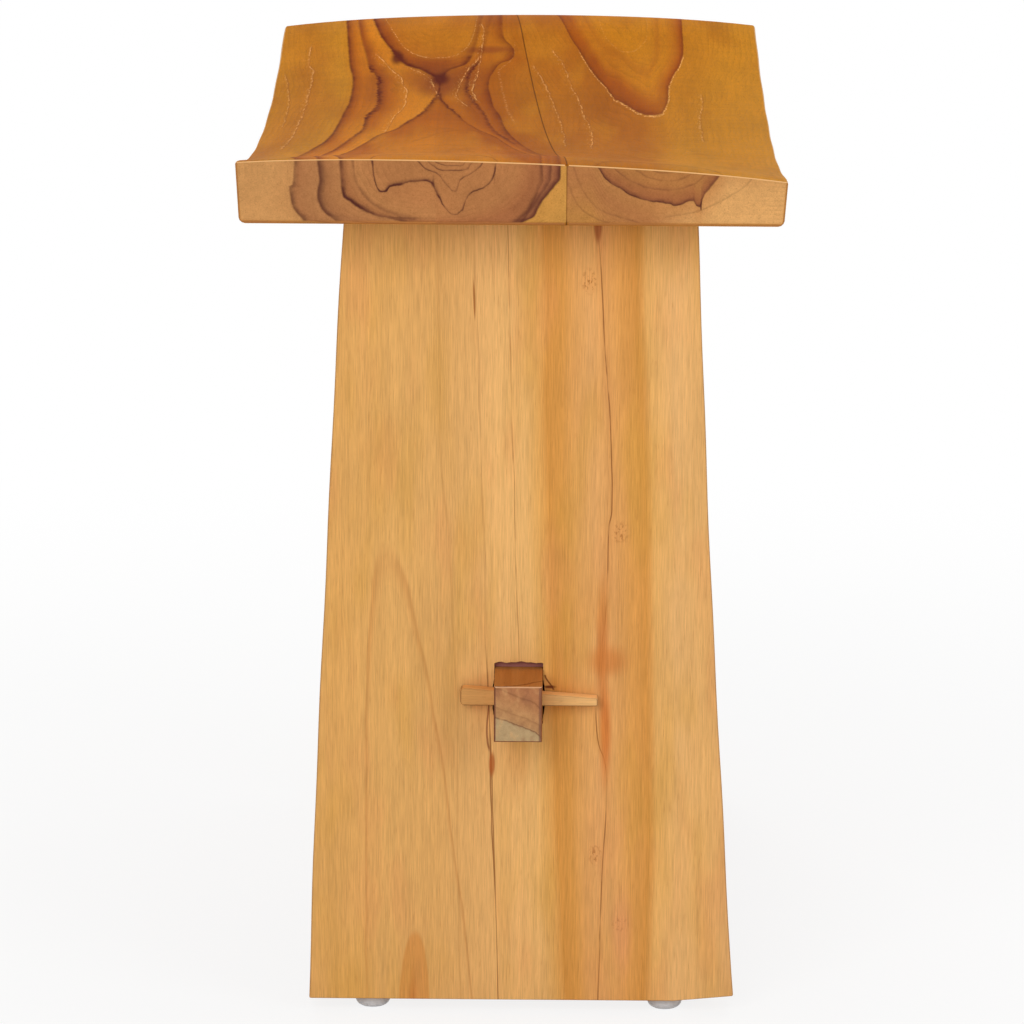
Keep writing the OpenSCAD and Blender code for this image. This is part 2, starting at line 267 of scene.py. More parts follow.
# 1 between From and To, faded over Fade at both ends
def makeSpan():
    group, given, result = newGroup("span", {"Value": 0, "From": 0, "To": 1, "Fade": 10}, ["Mask"])
    rise = (given["Value"] - given["From"]) / given["Fade"]
    fall = (given["To"] - given["Value"]) / given["Fade"]
    plug(group, result, {"Mask": rescale(smaller(rise, fall), -0.5, 0.5)})
    return group


# a soft-edged oval spot
def makeSpot():
    group, given, result = newGroup(
        "spot", {"Across": 0, "Up": 0, "Centre Across": 0, "Centre Up": 0, "Half Width": 5,
                 "Half Height": 5, "Softness": 0.5}, ["Mask"])
    wide = (given["Across"] - given["Centre Across"]) / given["Half Width"]
    tall = (given["Up"] - given["Centre Up"]) / given["Half Height"]
    reach = calc("SQRT", wide * wide + tall * tall)
    plug(group, result, {"Mask": fading(reach, 1.0 - given["Softness"], 1.0)})
    return group


# fibres and pores along Y: Streaks are broad, Fine is hair thin, Pores are short dark marks
def makeFibre():
    group, given, result = newGroup(
        "fibre", {"Vector": None, "Streak Size": 4, "Fine Size": 0.7, "Length": 40},
        ["Streaks", "Fine", "Pores"])
    x, y, z = separate(given["Vector"]).values()

    def stretched(size, lengthen, detail, low, high, least=-1.0):
        place = combine(x / size, y / (size * (given["Length"] * lengthen)), z / size)
        node = follow("ShaderNodeTexNoise", {"Vector": place, "Scale": 1.0, "Detail": detail})
        return rescale(outputOf(node), low, high, least, 1.0, "LINEAR")

    plug(group, result, {"Streaks": stretched(given["Streak Size"], 1.0, 3.0, 0.28, 0.72),
                         "Fine": stretched(given["Fine Size"], 0.5, 2.0, 0.28, 0.72),
                         "Pores": stretched(given["Fine Size"] * 1.1, 0.22, 1.0, 0.62, 0.76, 0.0)})
    return group


# where a rounded edge turns between two flat sides
def makeArris():
    group, given, result = newGroup("arris", {"Normal": None, "Width": 0.1}, ["Mask"])
    x, y, z = (abs(side) for side in separate(given["Normal"]).values())
    flattest = larger(larger(x, y), z)
    flat = 0.93
    plug(group, result, {"Mask": fading(flattest, flat - given["Width"], flat)})
    return group


growthRings, ringLine, spanGroup = makeGrowthRings(), makeRingLine(), makeSpan()
spotGroup, fibreGroup, arrisGroup = makeSpot(), makeFibre(), makeArris()


def lineMask(value, level, inner, outer):
    return useGroup(ringLine, {"Value": value, "Level": level, "Inner": inner, "Outer": outer})["Mask"]


def spanMask(value, low, high, fade):
    return useGroup(spanGroup, {"Value": value, "From": low, "To": high, "Fade": fade})["Mask"]


def spotMask(across, up, centre, size, softness=0.5):
    return useGroup(spotGroup, {
        "Across": across, "Up": up, "Centre Across": centre[0], "Centre Up": centre[1],
        "Half Width": size[0], "Half Height": size[1], "Softness": softness})["Mask"]


def rimMask(normal, width):
    return useGroup(arrisGroup, {"Normal": normal, "Width": width})["Mask"]


def newMaterial(name):
    material = bpy.data.materials.new(name)
    material.use_nodes = True
    material.node_tree.nodes.clear()
    return material, material.node_tree


# the varnished surface of every wood, and of the plastic and steel with more shine
def varnish(tone, rough, raised, depth, specular=0.0055):
    bump = follow("ShaderNodeBump", {"Height": raised, "Strength": 0.5, "Distance": depth * mm})
    shader = follow("ShaderNodeBsdfPrincipled", {"Base Color": tone, "Roughness": rough,
                                                 "Normal": outputOf(bump)})
    shader.inputs["Specular IOR Level"].default_value = specular
    follow("ShaderNodeOutputMaterial", {"Surface": outputOf(shader)})
    return shader


# fibres, pores and slow blotches over a tone; place has the grain along Y
def grained(place, tone, grain):
    fibre = useGroup(fibreGroup, {"Vector": place, "Streak Size": grain["streak"],
                                  "Fine Size": grain["fine"], "Length": grain["length"]})
    blotch = noiseAt(place, 26, 2.0, (1, 2.5, 1), 7.7)
    tone = shaded(tone, fibre["Streaks"] * grain["streakDepth"], fibre["Fine"] * grain["fineDepth"],
                  blotch * grain["blotchDepth"])
    tone = blendTint(fibre["Pores"] * grain["pores"], tone, grain["poreTint"])
    rough = rescale(fibre["Fine"], -1, 1, grain["rough"] - 0.05, grain["rough"] + 0.08, "LINEAR")
    return tone, rough, fibre["Fine"] * 0.5 - fibre["Pores"]


# slow drifts of hue over a board
def hueDrift(tone, place, tints):
    yellow = patches(place, 26, 2.0, (1, 4, 1), 12.3, -0.1, 0.9, 0.0, 0.4)
    rose = patches(place, 20, 2.0, (1, 4, 1), 15.1, 0.0, 0.9, 0.0, 0.3)
    return blendTint(rose, blendTint(yellow, tone, tints["yellow"]), tints["rose"])


# camera, light and floor

camera = {
    "place": (0.0251, -2.9820, 0.9341),
    "lookDown": 13.407,   # degrees
    "turnLeft": 0.502,
    "roll": 0.310,
    "lens": 192.7,
    "sensor": 36,
}


def setCamera():
    aim = (Matrix.Rotation(math.radians(camera["turnLeft"]), 4, "Z")
           @ Matrix.Rotation(math.radians(90 - camera["lookDown"]), 4, "X")
           @ Matrix.Rotation(math.radians(camera["roll"]), 4, "Z"))
    bpy.ops.object.camera_add(location=camera["place"], rotation=aim.to_euler())
    eye = bpy.context.active_object
    eye.data.lens = camera["lens"]
    eye.data.sensor_width = camera["sensor"]
    bpy.context.scene.camera = eye


# where each lamp hangs, what it points at, how wide it is and its watts; one of them mirrors in the varnish
lamps = {
    "frontSoftbox": {"place": (-0.9, -2.6, 1.5), "target": (0, 0, 0.25), "width": 1.8, "watts": 39.5},
    "rightSoftbox": {"place": (1.9, -1.7, 1.3), "target": (0, 0, 0.3), "width": 1.4, "watts": 18},
    "topSoftbox": {"place": (0.2, 0.5, 2.4), "target": (0, 0, 0.4), "width": 1.6, "watts": 18},
    "backSoftbox": {"place": (-0.6, 2.6, 1.4), "target": (0, 0, 0.3), "width": 1.4, "watts": 18},
}
mirrored = "frontSoftbox"


def hangLamps():
    for name, lamp in lamps.items():
        toTarget = Vector(lamp["target"]) - Vector(lamp["place"])
        bpy.ops.object.light_add(type="AREA", location=lamp["place"],
                                 rotation=toTarget.to_track_quat("-Z", "Y").to_euler())
        light = bpy.context.active_object
        light.name = name
        light.data.shape = "SQUARE"
        light.data.size = lamp["width"]
        light.data.energy = lamp["watts"]
        light.visible_glossy = name == mirrored


studio = {"worldTint": (1.0, 0.99, 0.97), "worldStrength": 0.31, "floorSize": 30, "floorTint": 0.86,
          "floorGlow": 0.84, "glowSpan": (0.3, 1.1)}


# 1 where the camera sees a surface, straight, mirrored or through glass
def seenByCamera(tree):
    path = outputsOf(addNode(tree, "ShaderNodeLightPath"))
    return larger(larger(path["Is Camera Ray"], path["Is Glossy Ray"]), path["Is Transmission Ray"])


def setWorld():
    world = bpy.data.worlds.new("studioWorld")
    bpy.context.scene.world = world
    world.use_nodes = True
    world.node_tree.nodes.clear()
    strength = rescale(seenByCamera(world.node_tree), 0, 1, studio["worldStrength"], 1.0, "LINEAR")
    sky = follow("ShaderNodeBackground", {"Color": (*studio["worldTint"], 1), "Strength": strength})
    follow("ShaderNodeOutputWorld", {"Surface": outputOf(sky)})


def layFloor():
    bpy.ops.object.select_all(action="DESELECT")
    bpy.ops.mesh.primitive_plane_add(size=studio["floorSize"], location=(0, 0, 0))
    floor = bpy.context.active_object
    floor.name = "floor"
    paint, tree = newMaterial("paleFloor")
    away = outputOf(follow("ShaderNodeVectorMath", {0: objectPlace(tree)}, operation="LENGTH"), "Value")
    # plain white a metre or so away, shadow near the legs
    glowing = rescale(away, *studio["glowSpan"], studio["floorGlow"], 1.0)
    matt = addNode(tree, "ShaderNodeBsdfDiffuse", {"Color": (studio["floorTint"],) * 3 + (1,)})
    glow = addNode(tree, "ShaderNodeEmission", {"Color": (1, 1, 1, 1)})
    both = follow("ShaderNodeMixShader",
                  {0: seenByCamera(tree) * glowing, 1: outputOf(matt), 2: outputOf(glow)})
    follow("ShaderNodeOutputMaterial", {"Surface": outputOf(both)})
    floor.data.materials.append(paint)


setCamera()
hangLamps()
setWorld()
layFloor()
bpy.context.scene.view_settings.view_transform = "Standard"
print("studio ready")


# small workshop of modelling steps

def lone(piece):
    bpy.ops.object.select_all(action="DESELECT")
    piece.select_set(True)
    bpy.context.view_layer.objects.active = piece


def block(name, low, high):
    bpy.ops.object.select_all(action="DESELECT")
    middle = [(a + b) / 2 for a, b in zip(low, high)]
    bpy.ops.mesh.primitive_cube_add(size=1, location=middle)
    piece = bpy.context.active_object
    piece.name = piece.data.name = name
    piece.scale = [b - a for a, b in zip(low, high)]
    bpy.ops.object.transform_apply(location=True, rotation=True, scale=True)
    return piece


def stations(low, high, count):
    return [low + (high - low) * k / count for k in range(1, count)]


def sliceAcross(piece, axis, cuts):
    lone(piece)
    bpy.ops.object.mode_set(mode="EDIT")
    normal = [1 if k == axis else 0 for k in range(3)]
    for cut in cuts:
        bpy.ops.mesh.select_all(action="SELECT")
        bpy.ops.mesh.bisect(plane_co=[cut * k for k in normal], plane_no=normal)
    bpy.ops.object.mode_set(mode="OBJECT")


def shapeBy(piece, moved):
    for vertex in piece.data.vertices:
        vertex.co = moved(*vertex.co)
    piece.data.update()


# goes to edit mode with the wanted faces selected
def editFaces(piece, wanted):
    lone(piece)
    for face in piece.data.polygons:
        face.select = wanted(face)
    for thing in list(piece.data.edges) + list(piece.data.vertices):
        thing.select = False
    bpy.ops.object.mode_set(mode="EDIT")
    bpy.ops.mesh.select_mode(type="FACE")


def extrude(offset):
    bpy.ops.mesh.extrude_region_move(TRANSFORM_OT_translate={"value": offset})


def applyModifiers(piece):
    lone(piece)
    for modifier in list(piece.modifiers):
        bpy.ops.object.modifier_apply(modifier=modifier.name)


# rounds the sharp edges to the width that widthAt gives for an edge's middle and direction
def roundEdges(piece, widthAt, widest, segments=3, sharp=40):
    mesh = piece.data
    weights = (mesh.attributes.get("bevel_weight_edge")
               or mesh.attributes.new("bevel_weight_edge", "FLOAT", "EDGE"))
    normals = {}
    for face in mesh.polygons:
        for key in face.edge_keys:
            normals.setdefault(key, []).append(face.normal.copy())
    for edge in mesh.edges:
        sides = normals.get(tuple(sorted(edge.vertices)), [])
        width = 0
        if len(sides) == 2 and sides[0].angle(sides[1], 0) > math.radians(sharp):
            a, b = (mesh.vertices[k].co for k in edge.vertices)
            width = widthAt((a + b) / 2, (b - a).normalized())
        weights.data[edge.index].value = width / widest
    bevel = piece.modifiers.new("arris", "BEVEL")
    bevel.width = widest
    bevel.segments = segments
    bevel.limit_method = "WEIGHT"
    bevel.use_clamp_overlap = True
    applyModifiers(piece)


def carve(piece, cutter):
    cut = piece.modifiers.new("carve", "BOOLEAN")
    cut.operation = "DIFFERENCE"
    cut.solver = "EXACT"
    cut.object = cutter
    applyModifiers(piece)
    bpy.data.objects.remove(cutter)


def mix(a, b, t):
    return a + (b - a) * t


def bodyOf(node):
    for body, members in frame["record"]["behaviour"]["bodies"].items():
        if node in members:
            return body


# smooths a finished piece, gives it its material and puts it in its node's place
def dress(piece, material, slot, *nodes, angle=35):
    lone(piece)
    bpy.ops.object.shade_smooth_by_angle(angle=math.radians(angle))
    even = piece.modifiers.new("even", "WEIGHTED_NORMAL")
    even.keep_sharp = True
    applyModifiers(piece)
    piece.data.materials.clear()
    piece.data.materials.append(material)
    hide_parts(*nodes)
    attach(piece, bodyOf(nodes[0]))


# seat

seat = {
    "length": 0.508, "width": 0.280, "thickness": 0.032,
    "frontHeight": 0.465, "backHeight": 0.4666, "scoopHeight": 0.440,
    "endStrip": 0.028, "stripRound": 0.005,
    "crown": (0.0036, 0.0016, 0.0053),        # fall to both sides: front, halfway, back
    "tilt": (0.00425, -0.001, -0.00115),      # fall to the right side only
    "lean": 0.0018,
    "seamFront": 0.028, "seamBack": -0.002, "seamBow": 0.0027,
    "rows": 84, "columns": 12,
    "topArris": 0.0014, "bottomArris": 0.0028, "frontCorner": 0.0018, "backCorner": 0.0042,
    "seamArris": 0.0002,
    "wave": 0.0003,
    "legMiddle": 0.0046, "legReach": 0.0922,  # where the legs enter the seat
}
halfSeat = seat["length"] / 2
halfWidth = seat["width"] / 2


# a value along the seat: u runs from -1 at the front to 1 at the back
def through(u, values):
    atFront, halfway, atBack = values
    return halfway + (atBack - atFront) / 2 * u + ((atBack + atFront) / 2 - halfway) * u * u


def softMin(a, b, k):
    return min(a, b) - max(k - abs(a - b), 0) ** 2 / (4 * k)


def crestAt(y):
    return seat["frontHeight"] if y < 0 else seat["backHeight"]


def scoopAt(y, reach):
    return seat["scoopHeight"] + (crestAt(y) - seat["scoopHeight"]) * (y / reach) ** 2


def seatTop(x, y):
    u, w = y / halfSeat, x / halfWidth
    reach = halfSeat - seat["endStrip"] * (1 - w * w)
    level = softMin(scoopAt(y, reach), crestAt(y), seat["stripRound"])
    return level - through(u, seat["crown"]) * w * w - through(u, seat["tilt"]) * w


def seatUnder(y):
    return scoopAt(y, halfSeat) - seat["thickness"]


def seamAt(y):
    u = y / halfSeat
    return mix(seat["seamFront"], seat["seamBack"], (u + 1) / 2) + seat["seamBow"] * (1 - u * u)


def buildSeatBoard(side, name):
    outer = side * halfWidth
    low, high = (min(outer, 0), -halfSeat, 0), (max(outer, 0), halfSeat, 1)
    board = block(name, low, high)
    sliceAcross(board, 1, stations(-halfSeat, halfSeat, seat["rows"]))
    sliceAcross(board, 0, stations(low[0], high[0], seat["columns"]))

    def moved(x, y, z):
        atTop = z > 0.5
        edge = outer + side * seat["wave"] * (math.sin(y * 47) * math.sin(y * 29 + side) - 0.8)
        if not atTop:
            edge = edge - side * seat["lean"]
        x = mix(seamAt(y), edge, x / outer)
        return x, y, seatTop(x, y) if atTop else seatUnder(y)

    shapeBy(board, moved)

    def arris(middle, along):
        if abs(middle.x - seamAt(middle.y)) < 0.002:
            return seat["seamArris"]
        if abs(along.z) > 0.7:
            return seat["frontCorner"] if middle.y < 0 else seat["backCorner"]
        centre = (seatTop(middle.x, middle.y) + seatUnder(middle.y)) / 2
        return seat["topArris"] if middle.z > centre else seat["bottomArris"]

    roundEdges(board, arris, seat["backCorner"])
    return board


# the seat is let down over the top of each leg
def cutHousings(board):
    for leg in ("front_leg_left_stave", "back_leg_left_stave"):
        low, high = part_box(leg)
        trench = block("trench", (seat["legMiddle"] - seat["legReach"], low[1], high[2] - 0.03),
                       (seat["legMiddle"] + seat["legReach"], high[1], high[2]))
        carve(board, trench)


# seat wood: rings run with the board, and the scoop cuts them open
leftRings = {
    "pithAcross": [(-254, -38), (-150, -42), (0, -44), (105, -45), (170, -48), (254, -53)],
    "pithHeight": [(-254, 466), (-237, 486), (-200, 483), (-150, 476), (-100, 471), (-60, 469.2),
                   (-28, 469.6), (-8, 470.6), (18, 472.2), (36, 473.4), (60, 474.9), (82, 476.75),
                   (105, 479.2), (130, 481.8), (148, 483.3), (158, 482.7), (166, 481.2), (182, 479),
                   (195, 477.6), (226, 476), (254, 471)],
    "spread": [(-254, 0.96), (-237, 1.0), (-150, 1.10), (-81, 1.04), (-28, 0.90), (36, 0.86), (75, 0.83),
               (120, 0.78), (165, 0.66), (190, 0.63), (254, 0.67)],
    "roundness": 2.4, "upright": 1.5, "drift": 0.5, "saw": 0.4, "sideBlend": 0.8,
    "leftBulge": [(-254, 0), (0, 0), (60, 1), (110, 2.5), (155, 6), (195, 6), (246, 2), (254, 2)],
    "rightBulge": [(-254, 0), (-40, 0), (30, -1), (80, -3), (125, -3), (148, 2), (170, 10), (186, 11),
                   (210, 5), (241, 0), (254, 0)],
}
rightRings = {
    "pithAcross": [(-254, 79), (43, 76), (110, 68), (254, 60)],
    "pithHeight": [(-254, 466), (-237, 486), (-100, 478), (43, 465), (254, 465)],
    "spread": [(-254, 0.94), (43, 0.94), (254, 0.98)],
    "roundness": 2.0, "upright": 1.5, "drift": 0.8, "saw": 0.3, "sideBlend": 12.0,
}
seatGrain = {"streak": 3.2, "fine": 0.65, "length": 22.0, "streakDepth": 0.06, "fineDepth": 0.09,
             "blotchDepth": 0.08,
             "pores": 0.26, "poreTint": (112, 56, 22), "rough": 0.46, "crossDepth": 0.045,
             "ringDepth": 0.16,
             "ringSpacing": 3.2, "farGlow": 0.08, "yellow": (198, 128, 30), "rose": (152, 80, 20),
             "side": (204, 146, 74)}

# tones along the ring value, on the face of the board and on its sawn end
leftOfPithNear = [(0, 195, 118, 24), (30, 196, 119, 25), (44, 192, 113, 24), (50.8, 166, 86, 18),
                  (51.8, 204, 125, 29), (57, 198, 117, 25), (62.6, 160, 80, 18), (64.5, 190, 111, 23),
                  (70, 182, 102, 21), (76.2, 162, 82, 18), (77.4, 188, 121, 28), (82, 188, 124, 31),
                  (100, 176, 107, 26), (140, 197, 132, 34)]
rightOfPithNear = [(0, 191, 116, 24), (30, 192, 117, 25), (44, 184, 107, 23), (50.8, 161, 84, 18),
                   (52, 175, 96, 20), (55, 153, 76, 18), (56, 169, 90, 19), (60.8, 149, 72, 15),
                   (61.8, 161, 87, 16), (70, 165, 92, 19), (80, 171, 100, 22), (140, 171, 100, 22)]
insideFarLoop = [(0, 185, 113, 25), (30, 183, 110, 25), (40.6, 178, 103, 24), (42.3, 167, 91, 22),
                 (46, 155, 78, 20), (51, 135, 61, 18)]
leftOfPithEnd = [(0, 168, 112, 67), (31, 170, 113, 68), (42, 174, 118, 71), (50.8, 158, 101, 62),
                 (52, 174, 118, 72), (61, 160, 106, 66), (64.5, 174, 119, 74), (75, 164, 109, 68),
                 (77.8, 188, 134, 81), (90, 193, 140, 85), (140, 194, 141, 86)]
rightOfPithEnd = [(0, 168, 112, 67), (31, 170, 113, 68), (42, 170, 113, 68), (50.5, 160, 101, 62),
                  (54, 146, 90, 60), (56, 154, 97, 62), (60.8, 132, 78, 54), (61.8, 192, 136, 66),
                  (80, 196, 141, 70), (140, 196, 141, 70)]
darkLine, darkLineEnd, paleFleck = (88, 30, 16), (80, 42, 36), (226, 166, 94)

# The figure where the photograph shows it. On the top a line's x is given along y,
# on the front end along z.
leftTopFigure = {
    "edgeLeft": [(-254, -109), (-200, -114), (-150, -113), (-89, -108.5), (-29, -101.5), (46, -97),
                 (111, -94), (166, -97.5), (248, -102.5)],
    "jaggedLeft": [(-254, -97.5), (-200, -102), (-150, -101), (-79, -95), (-39, -90.5), (-12, -86.5),
                   (10, -84), (35, -84), (60, -80), (85, -78.5), (108, -79), (130, -80), (155, -85.5),
                   (182, -88.5), (212, -92.5), (246, -95.5)],
    "crossLeft": [(-254, -86.5), (-200, -93), (-150, -92), (-101, -87), (-54, -81), (-23, -75.5), (5, -65),
                  (23, -61), (49, -53), (68, -49.5), (82, -47.5), (96, -45), (111, -44.5), (124, -45.5),
                  (136, -49.5), (147, -55.5), (161, -66), (181, -72), (220, -82.5), (248, -86.5)],
    "crossRight": [(-254, 15), (-200, 14), (-150, 10), (-100, 2), (-60, -5), (-34, -10), (0, -21.5),
                   (23, -28.5), (49, -34), (74, -41), (91, -43.5), (111, -44), (126, -43.5), (136, -42.5),
                   (145, -40), (150, -35.5), (158, -30), (180, -26.5), (254, -22)],
    "jaggedRight": [(-254, 19.5), (-200, 19), (-150, 15), (-100, 7), (-34, -5.5), (-11, -11), (16, -15),
                    (40, -17.5), (61, -21), (85, -26), (108, -29), (132, -28.5), (160, -23), (254, -16)],
    "edgeRight": [(-254, 24.5), (-200, 23), (-120, 12), (-51, 1.5), (-26, -2.5), (10, -7), (39, -9.5),
                  (60, -13), (89, -15.5), (115, -17), (140, -14.5), (156, -10.5), (166, -3.5), (174, -3),
                  (185, -4.5), (203, -9.5), (254, -11)],
}
leftFrontFigure = {
    "edgeLeft": [(433, -104), (436, -105.5), (439, -108.5), (443, -110.5), (451.5, -111.5), (453, -110),
                 (466, -109)],
    "jaggedLeft": [(433, -87), (436, -90), (439, -94), (443, -96.5), (447, -97.5), (452, -97),
                   (455.5, -96.5), (466, -97.5)],
    "crossLeft": [(433, -52), (436, -60), (437, -66), (439, -72), (442, -77), (444.5, -81), (448, -84.5),
                  (455.5, -85.5), (466, -86.5)],
    "crossRight": [(433, 1), (436.5, 4.5), (440.5, 8.5), (446, 11.5), (451, 13.5), (457, 15.5), (466, 15)],
    "jaggedRight": [(433, 4), (437.5, 7.5), (445, 12.5), (452, 17), (457, 19.5), (466, 20)],
    "edgeRight": [(433, 3), (435.5, 7.5), (437.5, 11.5), (443, 14), (448, 17.5), (453, 21.5), (458, 24.5),
                  (466, 24.5)],
}
# ring values that the drawn lines stand for
figureLevels = {"cross": 51.2, "jaggedLeft": 63.3, "edgeLeft": 76.6, "jaggedRight": 55.4, "edgeRight": 61.2}

# drawn strokes: (line, side, soft width inside, sharp width outside, strength, from, to, roughness)
leftTopStrokes = [
    ("edgeLeft", -1, 6.0, 1.5, 0.50, -260, 260, 0.3), ("edgeLeft", -1, 1.8, 1.4, 0.55, -90, 260, 0.3),
    ("jaggedLeft", -1, 6.0, 2.0, 0.40, 150, 260, 0.3), ("jaggedLeft", -1, 4.5, 2.0, 0.98, 30, 160, 1.4),
    ("jaggedLeft", -1, 3.6, 1.5, 0.75, -110, 40, 0.8), ("jaggedLeft", -1, 3.8, 1.4, 0.50, -260, -110, 0.3),
    ("crossLeft", -1, 3.6, 1.9, 0.85, 150, 260, 0.4), ("crossLeft", -1, 6.0, 3.7, 0.98, 156, 186, 0.6),
    ("crossLeft", -1, 5.1, 2.5, 0.98, 122, 158, 0.6), ("crossLeft", -1, 1.4, 1.4, 0.85, 92, 124, 0.1),
    ("crossLeft", -1, 4.8, 1.7, 0.90, 14, 96, 1.0), ("crossLeft", -1, 3.0, 1.2, 0.55, -260, 20, 0.6),
    ("crossRight", 1, 3.9, 2.2, 0.80, 126, 170, 0.4), ("crossRight", 1, 6.8, 2.7, 0.45, 160, 260, 0.3),
    ("crossRight", 1, 3.0, 1.4, 0.85, 36, 96, 1.0), ("crossRight", 1, 2.1, 1.0, 0.45, -260, 40, 0.5),
    ("jaggedRight", 1, 3.6, 2.2, 0.95, 62, 158, 1.1), ("jaggedRight", 1, 3.3, 1.7, 0.75, -60, 66, 0.8),
    ("jaggedRight", 1, 3.8, 2.5, 0.30, 150, 260, 0.5),
    ("edgeRight", 1, 7.5, 1.4, 0.48, -260, 260, 0.2), ("edgeRight", 1, 1.4, 0.8, 0.45, -60, 200, 0.3),
]
leftFrontStrokes = [
    ("edgeLeft", -1, 3.9, 1.4, 0.75, 430, 470, 0.3), ("jaggedLeft", -1, 4.7, 1.6, 0.80, 430, 470, 0.3),
    ("crossLeft", -1, 3.9, 1.6, 0.85, 430, 470, 0.4), ("crossLeft", -1, 2.3, 1.6, 0.90, 438, 452, 0.5),
    ("crossRight", 1, 2.9, 1.3, 0.60, 430, 470, 0.3), ("jaggedRight", 1, 2.6, 1.3, 0.60, 430, 470, 0.3),
    ("edgeRight", 1, 3.9, 1.1, 0.75, 430, 470, 0.3),
]
# the core of the end: height along x, then soft width above, sharp width below, strength,
# from x, to x and roughness
leftCoreRings = [
    ([(-75, 469), (-71.5, 466.5), (-70, 463), (-69.5, 458.5), (-68.5, 453.5), (-66.5, 450), (-65, 449.5),
      (-60.5, 452.5), (-55.5, 453.5), (-49.5, 455), (-43.5, 455.5), (-40, 454), (-38.5, 450.5), (-36, 446),
      (-32.5, 440.5), (-29, 438), (-25, 440.5), (-22.5, 446.5), (-19.5, 449.5), (-14, 452), (-10, 456),
      (-8, 461), (-7.5, 467), (-4, 471)],
     ((1.2, 0.7, 0.9, -80, 2, 0.3), (2.8, 1.2, 0.9, -64, -36, 0.5), (1.6, 0.9, 0.7, -74, -62, 0.4))),
    ([(-52, 468), (-48.5, 466), (-42.5, 461), (-37.5, 459), (-34.5, 455.5), (-31.5, 452), (-28.5, 450),
      (-27, 452.5), (-25.5, 456), (-20.5, 459), (-16.5, 462), (-13, 468)],
     ((1.2, 0.6, 0.75, -60, -8, 0.2),)),
    ([(-46, 469), (-43.5, 466.5), (-39.5, 463), (-33.5, 460.5), (-28.5, 460.5), (-23.5, 461), (-20.5, 464),
      (-17, 469)],
     ((1.2, 0.6, 0.7, -60, -8, 0.2),)),
    ([(-42, 468), (-39.5, 466), (-36.5, 464), (-31.5, 463), (-26.5, 463), (-22.5, 466), (-20, 468)],
     ((1.0, 0.5, 0.6, -60, -8, 0.2),)),
    ([(-84, 468), (-80, 464.5), (-79, 455.5), (-75, 448.5), (-68, 442), (-57.5, 437.5), (-50, 435.5)],
     ((3.0, 1.4, 0.35, -90, -48, 0.3),)),
]
# the same core showing on the front strip of the top: y along x
leftStripLoop = [(-72, -258), (-70.5, -250), (-68, -240), (-62, -233), (-52, -230), (-40, -229),
                 (-28, -229.5), (-18, -232), (-11, -240), (-8, -250), (-6, -258)]
leftSoftArc = [(-60, -60), (-49, -33), (-38.5, -10), (-28, -4), (-16.5, -22), (-5.5, -42)]

# open pores that show pale: x along y, width, strength, from y, to y
leftPaleStrokes = [
    ([(80, -44.5), (100, -46), (113, -48), (128, -50.5), (140, -55), (149, -60.5),
      (165, -70)], 0.45, 0.75, 92, 152),
    ([(-12, -72), (15, -70.5), (43, -68), (59, -65), (81, -63), (97, -63), (115, -65), (132, -67.5),
      (149, -73), (179, -82.5)], 0.5, 0.85, -10, 180),
    ([(60, -26), (76, -31), (95, -34.5), (116, -33), (140, -29.5), (164, -23.5)], 0.45, 0.9, 66, 166),
    ([(70, -20.5), (90, -24), (107, -25.5), (128, -24), (151, -22.5), (173, -22), (197, -21), (235, -22.5)],
     0.45, 0.85, 78, 226),
    ([(-74, -124.5), (-3, -121.5), (54, -120), (96, -119), (124, -118.5), (146, -118.5), (176, -122),
      (203, -122.5)],
     0.7, 0.6, -80, 205),
    ([(0, -130), (60, -129), (118, -131), (151, -134.5)], 0.6, 0.45, 10, 152),
]
# pale pores and soft rings that follow a ring: (side, ring, width, strength, from y, to y)
leftFlecks = [(0, 41.3, 0.8, 0.75, 155, 262), (1, 66.0, 1.2, 0.35, 20, 190)]

# on the back end, the sides and below the rings are left as they fall
leftLines = [(-1, 51.2, 3.0, 0.9, 0.75, -260, 260), (-1, 63.3, 3.0, 0.9, 0.70, -260, 260),
             (-1, 76.6, 3.6, 1.0, 0.65, -260, 260), (1, 50.9, 2.4, 0.8, 0.60, -260, 260),
             (1, 55.4, 2.0, 0.8, 0.55, -260, 260), (1, 61.2, 3.2, 0.8, 0.65, -260, 260),
             (0, 41.5, 2.0, 0.8, 0.35, -260, 260), (0, 32.0, 1.6, 0.7, 0.55, -260, 260),
             (0, 24.0, 1.4, 0.7, 0.35, -260, 260), (0, 16.5, 1.2, 0.6, 0.40, -260, 260),
             (0, 9.0, 1.0, 0.6, 0.45, -260, 260)]
# darker blots where rings meet, and the reddish wood round them: centre, half size, strength
leftDarkSpots = [((-44.5, 127), (7.5, 17), 1.0), ((-70.5, 171), (5, 17), 0.9)]
leftRedHalos = [((-18, 180), (22, 9), 0.75), ((-46, 132), (36, 52), 0.5), ((-45, 114), (18, 38), 0.8),
                ((-80, 110), (11, 66), 0.5), ((-26, 100), (8, 60), 0.35)]

